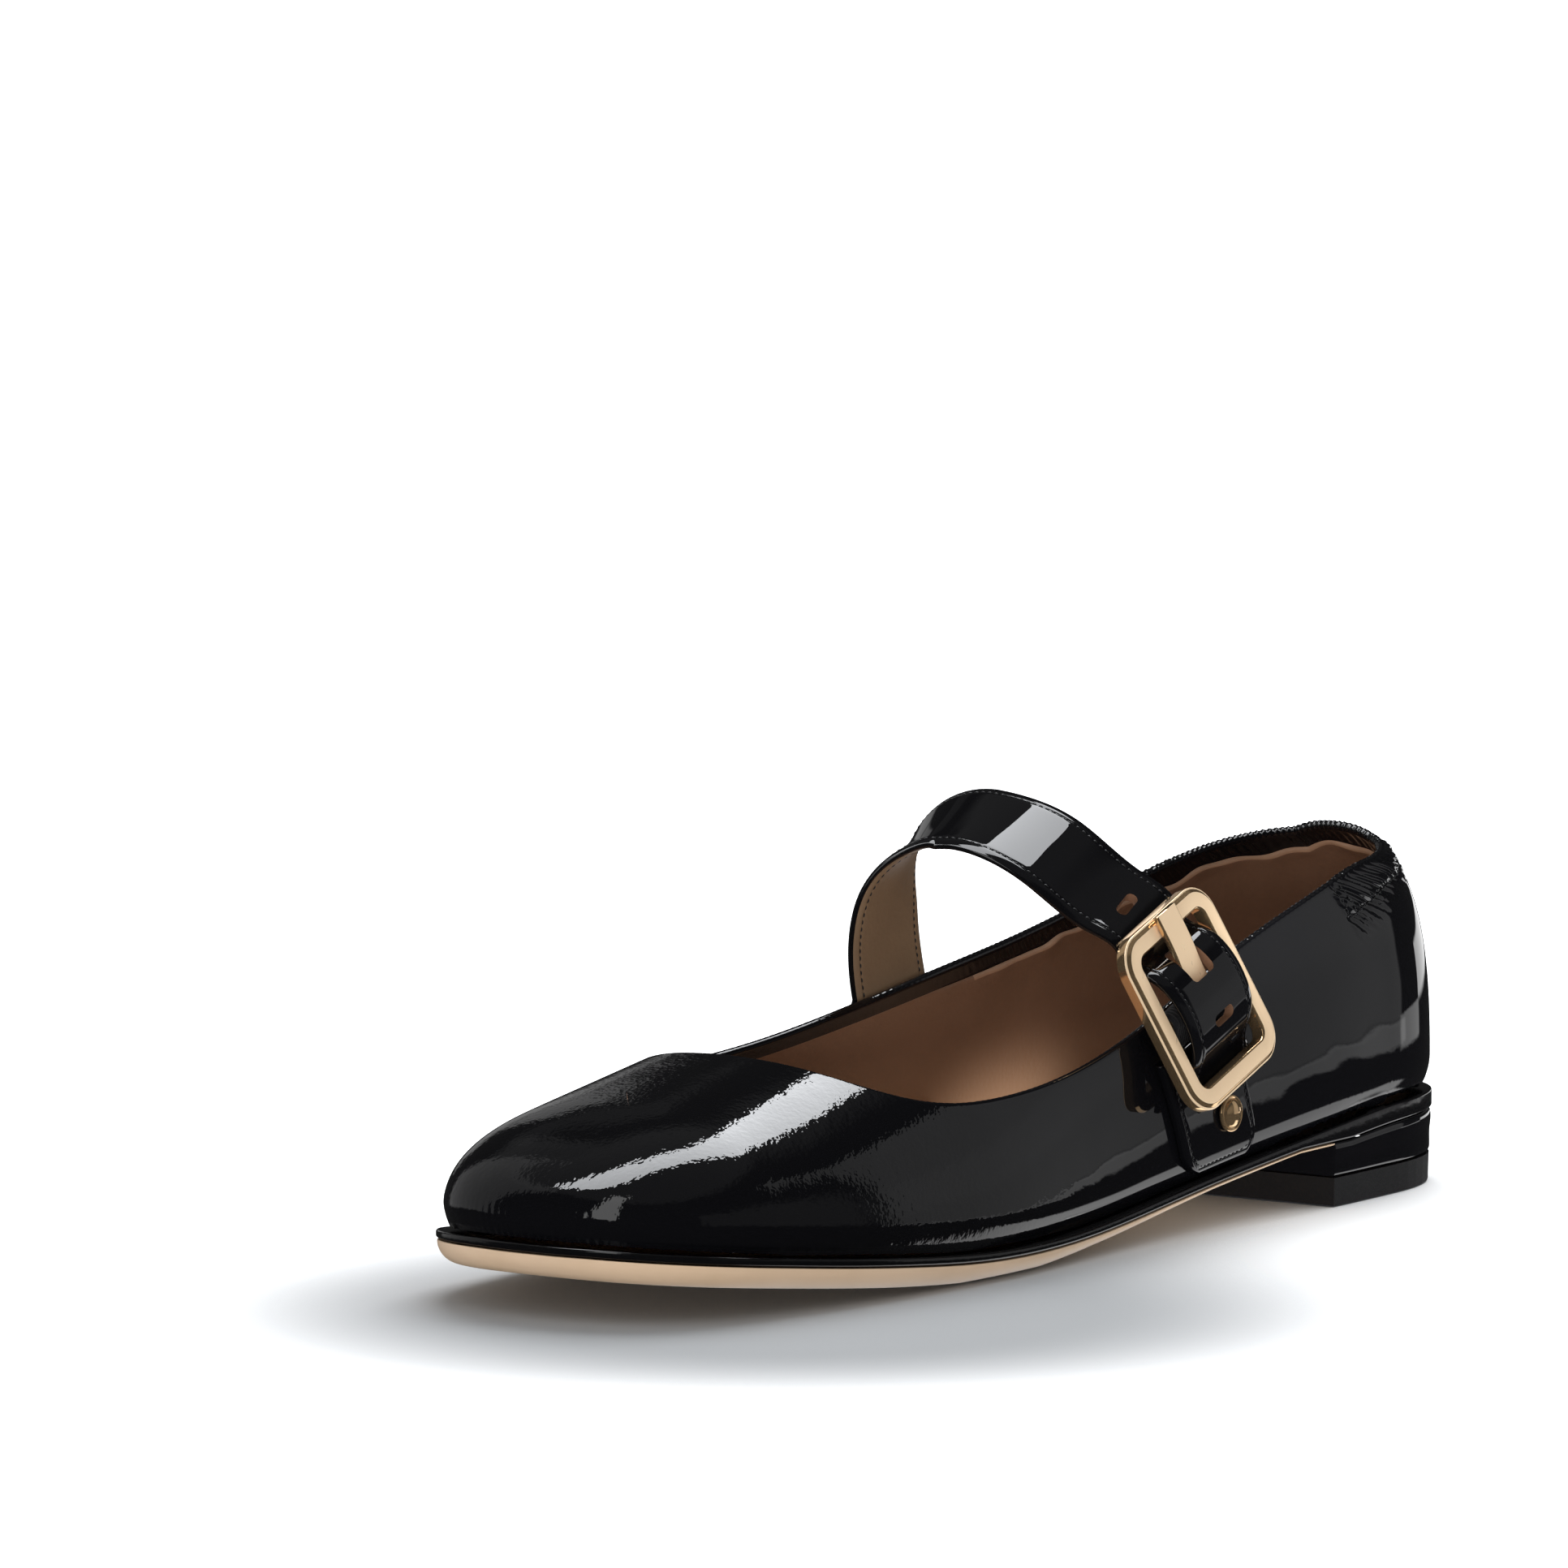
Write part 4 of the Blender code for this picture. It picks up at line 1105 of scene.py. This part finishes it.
def make_prong():
    """The prong, curled round the pin and lying on the frame's upper bar."""
    tip = BUCKLE[1] / 2 + 0.2
    rest = BUCKLE_BAR[1] / 2 + GAP + PRONG / 2
    curl = PIN_RADIUS + PIN_ROOM + PRONG / 2
    path = [(-tip, rest), (-tip + BUCKLE_BAR[0], rest), (-9.0, rest - 0.2), (-5.0, rest - 0.6)]
    for angle in np.radians(np.linspace(10, 230, 12)):
        path.append((curl * math.sin(angle), PIN_OUT + curl * math.cos(angle)))
    path = np.array(path)
    run = distance_run(path)
    fine = np.linspace(0, run[-1], 90)
    down = smooth_curve(list(zip(run, path[:, 0])), 1, fine)
    out = smooth_curve(list(zip(run, path[:, 1])), 1, fine)
    edges = np.linspace(-PRONG_WIDTH / 2 + 0.3, PRONG_WIDTH / 2 - 0.3, 7)
    skin = from_buckle(edges[None, :], down[:, None], out[:, None])
    piece = ribbon("buckle_prong", skin, PRONG, 0.3, [satin_gold, bright_gold], (0, 1, 1))
    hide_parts("prong")


# ---------------------------------------------------------------- strap, tab, elastic and stud

STRAP_WIDTH = 20.4
STRAP = 1.8
STRAP_STEP = 0.8
STRAP_ROUND = 0.4
STITCH_INSET = 1.65
STRAP_ARCH = [  # u, y, z, tilt in degrees, of the strap's middle from its sewn end over the instep
    (119.5, 16.0, 9.0, 0),
    (119.5, 16.0, 26.0, 4),
    (119.5, 19.5, 43.0, 15),
    (120.5, 19.5, 55.5, 28),
    (118.0, 16.5, 66.0, 33),
    (115.0, 11.0, 71.5, 27),
    (113.5, 2.0, 72.0, 23),
    (111.0, -9.5, 67.5, 26),
    (105.5, -19.0, 59.0, 24),
]
STRAP_IN_BUCKLE = [  # distance down the buckle from its middle, distance out of its plane
    (-15.4, -2.8),
    (-12.6, -2.8),
    (-10.4, -1.4),
    (-8.8, 0.8),
    (-5.5, 2.9),
    (-1.0, 3.7),
    (4.0, 3.1),
    (8.0, 1.0),
    (10.4, -1.5),
    (12.8, -2.7),
    (17.0, -2.7),
]
STRAP_MIDDLE_ROW = 5    # the row of STRAP_IN_BUCKLE from which the holes are measured
HOLES = [  # distance up the strap from the buckle's middle, width across, length along
    (-5.0, 6.2, 2.2),
    (6.2, 7.0, 7.6),
    (21.6, 6.2, 2.2),
]
HOLE_ROUND = 1.09       # radius of the holes' corners


def strap_path():
    """The strap's middle line and how far each place is tilted, evenly spaced."""
    arch = np.array(STRAP_ARCH, float)
    places = np.concatenate([shoe(arch[:, 0], arch[:, 1], arch[:, 2]),
                             from_buckle(0, *np.array(STRAP_IN_BUCKLE).T)])
    tilts = np.concatenate([arch[:, 3], np.full(len(STRAP_IN_BUCKLE), BUCKLE_TILT)])
    run = distance_run(places)
    at = np.linspace(0, run[-1], round(run[-1] / STRAP_STEP))
    tables = [list(zip(run, values)) for values in (*places.T, tilts)]
    x, y, z, tilt = (smooth_curve(table, 1, at) for table in tables)
    middle_run = run[len(arch) + STRAP_MIDDLE_ROW]
    return np.stack([x, y, z], 1), np.radians(tilt), at - middle_run


def strap_skin(share):
    """The strap's middle surface at distances from its middle line, lying on the wall where it passes it."""
    places, tilts, runs = strap_path()
    tangent = unit(np.gradient(places, axis=0))
    turn = math.radians(BUCKLE_TURN)
    side = np.stack([np.cos(tilts), np.full_like(tilts, math.sin(turn)), np.sin(tilts)], 1)
    side[:len(places) // 2, 1] = 0
    side = unit(side - tangent * np.sum(side * tangent, axis=1, keepdims=True))
    skin = places[:, None] + side[:, None] * share[None, :, None]
    u, z = MID_U - skin[..., 0], skin[..., 2]
    wall = wall_y(u, np.minimum(z, ridge(u) - 0.5), MEDIAL) + GAP + STRAP / 2 - MID_Y
    reach = np.where(z < topline(u, MEDIAL) + 2, wall, -np.inf)
    on_inner_side = skin[..., 1] > 0
    skin[..., 1] = np.where(on_inner_side, np.maximum(skin[..., 1], reach), skin[..., 1])
    return skin, side, tangent, runs


def cut_holes(piece, skin, side, tangent, runs):
    """Cut the strap's holes; their walls show the lining's tan."""
    cutters = []
    for number, (up, width, length) in enumerate(HOLES):
        centre = read_at(-up, runs, skin[:, skin.shape[1] // 2])
        lengthwise = unit(read_at(-up, runs, tangent))
        crosswise = unit(read_at(-up, runs, side))
        through = np.cross(lengthwise, crosswise)
        hole = rounded_rectangle(width, length, HOLE_ROUND, corner=9)
        loops = [centre + hole[:, :1] * crosswise + hole[:, 1:] * lengthwise + through * depth
                 for depth in (-2 * STRAP, 2 * STRAP)]
        points, faces = ring_faces(loops, capped=True)
        name = f"hole_{number + 1}"
        cutter = put(name, new_mesh(name, points * MM, faces, [lining]))
        cut = piece.modifiers.new(cutter.name, "BOOLEAN")
        cut.operation = "DIFFERENCE"
        cut.solver = "EXACT"
        cut.material_mode = "TRANSFER"
        cut.object = cutter
        cutters.append(cutter)
    graph = bpy.context.evaluated_depsgraph_get()
    result = bpy.data.meshes.new_from_object(piece.evaluated_get(graph))
    piece.modifiers.clear()
    piece.data = result
    result.set_sharp_from_angle(angle=math.radians(40))
    for cutter in cutters:
        bpy.data.objects.remove(cutter, do_unlink=True)


def border_relief(inset, roll=0.36):
    """A stitched border: rolled down at its edge, with a groove along the stitches."""
    rolled = roll * np.clip(1 - inset / (STITCH_INSET - 0.15), 0, 1) ** 2
    groove = 0.13 * bell(inset - STITCH_INSET, 0.22)
    return -rolled - groove


def make_strap():
    """The strap with its stitched borders and holes."""
    half = STRAP_WIDTH / 2 - STRAP_ROUND
    inset = np.concatenate([np.linspace(0, 1.3, 8), np.linspace(1.42, 2.0, 8), [2.3, 3.0, 4.2, 6.0, 8.0]])
    share = np.concatenate([inset - half, [0], (half - inset)[::-1]])
    relief = border_relief(half - np.abs(share))
    skin, side, tangent, runs = strap_skin(share)
    piece = ribbon("strap_band", skin, STRAP, STRAP_ROUND, [patent, edge_paint, strap_back], relief=relief)
    cut_holes(piece, skin, side, tangent, runs)
    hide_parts("strap")
    wide = unit(np.gradient(skin, axis=1))
    normal = unit(np.cross(np.gradient(skin, axis=0), wide))
    for edge, column in (("front", 11), ("rear", len(share) - 12)):
        for face, sign in (("face", 1), ("back", -1)):
            out = normal[:, column] * sign
            path = skin[:, column] + out * (STRAP / 2 + relief[column])
            stitches(f"strap_{face}_{edge}", path, out)


TAB_AT = 88.0
TAB_LEAN = 0.29         # how far it goes forwards for each millimetre up
TAB_WIDTH = 22.4
TAB = 1.6
TAB_ROUND = 6.0
TAB_BELOW_TOPLINE = 6.9
TAB_ABOVE_SOLE = 1.0
TAB_LENGTH = 27.0
ELASTIC = 0.8
ELASTIC_WIDTH = 20.0
ELASTIC_FOOT = (5.4, -3.35)     # its end, down the buckle and out of its plane
RIB = 0.06
RIB_PITCH = 0.9
STUD_AT = (87.6, 20.6)
STUD_RADIUS = 3.3
STUD_RIM = [  # share of the stud's radius, height over the tab
    (0.93, 0.30),
    (0.99, 0.45),
    (1.00, 0.70),
    (0.99, 0.90),
    (0.95, 1.05),
    (0.90, 1.10),
    (0.85, 1.05),
    (0.82, 0.92),
    (0.79, 0.90),
    (0.76, 0.96),
]


def tab_points(rise, share, out):
    """Places on the tab: distance up from its lower edge, share of its half width, distance out."""
    corner = np.clip(TAB_ROUND - rise, 0, None)
    half = TAB_WIDTH / 2 - TAB_ROUND + np.sqrt(np.clip(TAB_ROUND ** 2 - corner ** 2, 0, None))
    u = TAB_AT + TAB_LEAN * rise + half * share
    low = seat(u) + TAB_ABOVE_SOLE
    high = topline(u, LATERAL) - TAB_BELOW_TOPLINE
    z = low + (high - low) * (rise / TAB_LENGTH)
    return shoe(u, wall_y(u, z, LATERAL) - GAP - out, z), half * (1 - np.abs(share))


def make_tab():
    """The tab under the buckle, its lower corners round, with a border sewn along its sides and foot."""
    crowd = np.array([0, 0.05, 0.15, 0.3, 0.5, 0.8, 1.1, 1.35, 1.5, 1.65, 1.8, 1.95, 2.2, 2.6])
    rise = np.concatenate([crowd, np.linspace(3.4, TAB_LENGTH - 3, 40), TAB_LENGTH - crowd[::-1]])
    edge = crowd / (TAB_WIDTH / 2)
    share = np.concatenate([-1 + edge, np.linspace(-0.7, 0.7, 24), 1 - edge[::-1]])
    rise, share = np.meshgrid(rise, share, indexing="ij")
    _, inset = tab_points(rise, share, 0.0)
    inset = np.minimum(np.minimum(inset, rise), TAB_LENGTH - rise)
    round_share = 1 - np.clip(inset / 0.9, 0, 1)
    out = TAB * (1 - round_share ** 2.5) ** 0.4 + border_relief(inset, 0.2)
    skin, _ = tab_points(rise, share, np.maximum(out, 0))
    points = skin.reshape(-1, 3)
    faces = facing(points, grid_faces(*rise.shape), np.array([0, -1.0, 0]))
    piece = add_mesh("tab_leather", *weld(points, faces), [patent])
    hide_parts("buckle_tab")
    up = np.concatenate([np.linspace(STITCH_INSET, TAB_ROUND, 12),
                         np.linspace(TAB_ROUND + 0.5, TAB_LENGTH - 1, 30)])
    corner = np.clip(TAB_ROUND - up, 0, None)
    arc = np.sqrt(np.clip((TAB_ROUND - STITCH_INSET) ** 2 - corner ** 2, 0, None))
    sewn = TAB_WIDTH / 2 - TAB_ROUND + arc
    whole = TAB_WIDTH / 2 - TAB_ROUND + np.sqrt(TAB_ROUND ** 2 - corner ** 2)
    rises = np.concatenate([up[::-1], np.full(9, STITCH_INSET), up])
    sides = sewn / whole
    shares = np.concatenate([-sides[::-1], np.linspace(-sides[0], sides[0], 11)[1:-1], sides])
    path, _ = tab_points(rises, shares, TAB - 0.13)
    above, _ = tab_points(rises, shares, TAB + 0.87)
    stitches("tab_row", path, unit(above - path))


def make_elastic():
    """Woven elastic folded over the buckle's pin, in two halves beside the prong."""
    fold = PIN_RADIUS + PIN_ROOM + ELASTIC / 2
    path = [(ELASTIC_FOOT[0], ELASTIC_FOOT[1] + ELASTIC * 0.65)]
    for angle in np.linspace(-0.6, math.pi + 0.2, 30):
        path.append((-fold * math.sin(angle), PIN_OUT + fold * math.cos(angle)))
    path.append((ELASTIC_FOOT[0], ELASTIC_FOOT[1] - ELASTIC * 0.65))
    path = along(np.array(path), np.linspace(0, 1, 70))
    inner, outer = PRONG_WIDTH / 2 + GAP, ELASTIC_WIDTH / 2
    for name, low, high in (("elastic_front", -outer, -inner), ("elastic_rear", inner, outer)):
        wide = np.linspace(low, high, 40)
        rib = RIB * np.cos((wide - low) * 2 * math.pi / RIB_PITCH)
        skin = from_buckle(wide[None, :], path[:, :1], path[:, 1:])
        normal = unit(np.cross(np.gradient(skin, axis=0), np.gradient(skin, axis=1)))
        skin = skin + normal * rib[None, :, None]
        piece = ribbon(name, skin, ELASTIC, 0.2, [elastic_black], (0, 0, 0))
        if low < 0:
            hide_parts("elastic_loop")


def make_stud():
    """A plain domed stud with a rim."""
    u, z = STUD_AT
    step = 0.5

    def on_tab(u, z):
        return shoe(u, wall_y(u, z, LATERAL) - GAP - TAB, z)

    base = on_tab(u, z)
    across, up = unit(on_tab(u - step, z) - base), unit(on_tab(u, z + step) - base)
    out = unit(np.cross(across, up))
    if out[1] > 0:
        out = -out
    angles = np.arange(48) * 2 * math.pi / 48
    circle = np.cos(angles)[:, None] * across + np.sin(angles)[:, None] * up
    dome = [(0.74 * math.cos(a), 1.0 + 0.8 * math.sin(a)) for a in np.linspace(0.1, math.pi / 2 - 0.05, 9)]
    loops = [base + circle * STUD_RADIUS * wide + out * high for wide, high in STUD_RIM + dome]
    piece = add_mesh("stud_cap", *ring_faces(loops, capped=True), [bright_gold])
    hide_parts("stud")


make_upper()
make_insole()
make_rand()
make_outsole()
make_heel()
make_buckle()
make_prong()
make_strap()
make_tab()
make_elastic()
make_stud()
top_piece_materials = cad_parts["heel_top_piece"].data.materials
top_piece_materials.clear()
top_piece_materials.append(black_rubber)


# ---------------------------------------------------------------- floor, light and camera

FLOOR_REACH = 15
FLOOR_BELOW = 0.0003
CARDS = [  # azimuth from and to, elevation from and to, softness across and upright, brightness
    (47.5, 70.5, -4.3, 34, 0.8, 0.3, 0.27),
    (44, 70.5, 3, 14, 1.5, 2.0, 0.03),
    (47.5, 73, -5.2, -4.3, 1.0, 0.12, 0.50),
    (70, 86, -5.4, -4.0, 1.0, 0.12, 0.80),
    (86, 113, -4.0, -0.2, 0.4, 0.3, 1.80),
    (60, 79, -65, -16.5, 2.0, 0.8, 1.20),
    (79, 130, -65, -21, 1.0, 0.8, 1.40),
    (-10, 44, -2, 20, 2.0, 3.0, 0.08),
    (134, 141, 14, 27.5, 1.0, 1.5, 0.26),
    (130, 151, 31, 38.5, 1.0, 1.0, 0.03),
    (133, 146, 2, 13, 1.0, 1.5, 0.30),
    (148, 160, 34, 46, 2.0, 3.0, 0.08),
    (160, 214, -8, 49, 2.0, 2.0, 0.26),
    (258.5, 280, 5, 60, 1.2, 2.0, 1.9),
    (-30, 350, 47, 100, 1.0, 4.0, 0.09),
]
ROOM_RADIUS = 4
ROOM_GLOW = 0.02
WORLD_LIGHT = 0.40
SOFT_LIGHTS = [  # name, direction and distance in metres, width, height, power in watts
    ("back_light", (0.60, 0.30, 0.80), 1.6, 1.1, 0.9, 24.0),
    ("front_light", (-0.84, -0.52, 0.06), 2.0, 1.4, 0.3, 16.0),
]
INSIDE_LIGHT_AIM = (0.038, 0.020, 0.012)
INSIDE_LIGHT_AWAY = (0.26, -0.73, 0.63)
# Centre of the shadow painted into the floor, in metres: the floor's glow is held back within about 5 cm of
# it.
SHADOW_AT = (-0.09, -0.03)
SOFTBOX_HEIGHT = 0.25
SOFTBOX = [  # corners of the strip of light over the shoe, towards the heel and towards the inner side
    (-0.20, 0.07),
    (-0.16, 0.03),
    (-0.08, 0.01),
    (0.00, -0.03),
    (0.05, -0.05),
    (0.09, -0.07),
    (0.10, -0.05),
    (0.13, -0.04),
    (0.15, 0.01),
    (0.15, 0.06),
    (0.12, 0.06),
    (0.09, 0.04),
    (0.02, 0.03),
    (-0.08, 0.09),
    (-0.20, 0.17),
]


def only_seen_in_reflections(thing):
    """Cards round the studio shine on glossy surfaces and nowhere else."""
    thing.visible_camera = False
    thing.visible_diffuse = False
    thing.visible_transmission = False
    thing.visible_volume_scatter = False
    thing.visible_shadow = False


def stage_mesh(name, points, faces, material):
    thing = put(name, new_mesh(name, points, faces, [material]))
    return thing


def make_dome():
    """A dark room with soft grey cards round the shoe, as the patent leather mirrors it."""
    room = Finish("dark studio", (0, 0, 0), 1.0, Specular_IOR_Level=0.0)
    axes = [room.make("ShaderNodeSeparateXYZ", {}, {0: room.place}, axis) for axis in range(3)]
    x, y, z = axes
    azimuth = x.math("ARCTAN2", x, 0 - y) * (180 / math.pi)
    azimuth = azimuth + 360 * azimuth.math("LESS_THAN", azimuth, -20)
    reach = room.make("ShaderNodeVectorMath", {"operation": "LENGTH"}, {0: room.place}, "Value")
    elevation = z.math("ARCSINE", z / reach) * (180 / math.pi)
    light = ROOM_GLOW
    for left, right, low, high, soft, mild, brightness in CARDS:
        across = azimuth.clamp(left - soft, left + soft) * (1 - azimuth.clamp(right - soft, right + soft))
        upright = elevation.clamp(low - mild, low + mild) * (1 - elevation.clamp(high - mild, high + mild))
        light = light + brightness * across * upright
    room.set(Emission_Color=room.make("ShaderNodeCombineXYZ", {}, {0: light, 1: light, 2: light}))
    room.set(Emission_Strength=1.0)
    room.material.cycles.emission_sampling = "NONE"
    rings = np.linspace(-math.pi / 2 + 0.01, math.pi / 2 - 0.01, 40)
    turns = np.linspace(0, 2 * math.pi, 73)
    lat, lon = np.meshgrid(rings, turns, indexing="ij")
    points = np.stack([np.cos(lat) * np.cos(lon), np.cos(lat) * np.sin(lon), np.sin(lat)], -1).reshape(-1, 3)
    walls = stage_mesh("studio_walls", points * ROOM_RADIUS, grid_faces(*lat.shape), room.material)
    only_seen_in_reflections(walls)


def make_softbox():
    """The strip of light that draws the long highlights, its outline cut to shape."""
    cloth = Finish("softbox", (0, 0, 0), 1.0, Specular_IOR_Level=0.0)
    cloth.set(Emission_Color=(0.95, 0.97, 1, 1), Emission_Strength=7.6)
    cloth.material.cycles.emission_sampling = "NONE"
    points = [(x, y, SOFTBOX_HEIGHT) for x, y in SOFTBOX]
    only_seen_in_reflections(stage_mesh("softbox", points, [range(len(points))], cloth.material))


def put_lamp(data, place, aim):
    """A lamp that shines at a place and is not mirrored."""
    lamp = put(data.name, data)
    lamp.location = place
    lamp.rotation_euler = (place - aim).to_track_quat("Z", "Y").to_euler()
    lamp.visible_glossy = False
    return lamp


def make_lights():
    """Large soft lights: one behind the heel that throws the shadow forward, and a low one in front."""
    for name, direction, distance, width, height, power in SOFT_LIGHTS:
        data = bpy.data.lights.new(name, "AREA")
        data.shape = "RECTANGLE"
        data.size = width
        data.size_y = height
        data.energy = power
        put_lamp(data, Vector(direction).normalized() * distance, Vector((0, 0, 0)))


def make_inside_light():
    """A narrow lamp over the outer side that lights the foot of the lining on the inner side."""
    data = bpy.data.lights.new("inside_light", "SPOT")
    data.energy = 60
    data.spot_size = math.radians(3.2)
    data.spot_blend = 1.0
    data.shadow_soft_size = 0.01
    aim = Vector(INSIDE_LIGHT_AIM)
    lamp = put_lamp(data, aim + Vector(INSIDE_LIGHT_AWAY), aim)
    lamp.scale = (1.0, 0.4, 1.0)


def make_floor():
    """White paper that glows away from the shoe; its glow is held back near the forefoot's outer side and
    under the shoe, a painted shadow joined to the cast one.
    """
    paper = Finish("white paper", (0.48, 0.50, 0.52), 0.9)
    shadow = (*SHADOW_AT, 0)
    from_shadow = paper.make("ShaderNodeVectorMath", {"operation": "SUBTRACT"}, {0: paper.place, 1: shadow})
    away = paper.make("ShaderNodeVectorMath", {"operation": "LENGTH"}, {0: from_shadow}, "Value")
    # Painted shadow: the glow fades out near SHADOW_AT and under the shoe, where ambient occlusion is low, on
    # top of the shadow the lamps cast.
    painted_shade_mask = paper.make("ShaderNodeAmbientOcclusion", {"samples": 8}, {"Distance": 0.08}, "AO")
    glow = paper.blend(away.clamp(0.05, 0.15) * painted_shade_mask ** 2, (0, 0, 0), (1, 1, 1))
    paper.set(Emission_Color=glow, Emission_Strength=1.5)
    signs = ((-1, -1), (1, -1), (1, 1), (-1, 1))
    corners = [(x * FLOOR_REACH, y * FLOOR_REACH, -FLOOR_BELOW) for x, y in signs]
    stage_mesh("floor", corners, [range(4)], paper.material).visible_glossy = False


def make_studio():
    world = bpy.data.worlds.new("studio")
    bpy.context.scene.world = world
    world.use_nodes = True
    sky = world.node_tree.nodes["Background"].inputs
    sky["Color"].default_value = (1, 1, 1, 1)
    sky["Strength"].default_value = WORLD_LIGHT
    world.cycles_visibility.glossy = False
    make_floor()
    make_dome()
    make_softbox()
    make_lights()
    make_inside_light()


CAMERA_AZIMUTH = -52.8
CAMERA_ELEVATION = 5.9
CAMERA_DISTANCE = 2.476
CAMERA_AIM = (-0.051, 0.0004, 0.084)
CAMERA_LENS = 331


def make_camera():
    azimuth, elevation = math.radians(CAMERA_AZIMUTH), math.radians(CAMERA_ELEVATION)
    level = math.cos(elevation)
    back = Vector((math.sin(azimuth) * level, -math.cos(azimuth) * level, math.sin(elevation)))
    data = bpy.data.cameras.new("camera")
    data.lens = CAMERA_LENS
    data.sensor_width = 36
    data.clip_end = 100
    camera = put("camera", data)
    camera.location = Vector(CAMERA_AIM) + back * CAMERA_DISTANCE
    camera.rotation_euler = back.to_track_quat("Z", "Y").to_euler()
    bpy.context.scene.camera = camera


make_studio()
make_camera()
bpy.context.scene.view_settings.view_transform = "Standard"
bpy.context.scene.view_settings.look = "None"
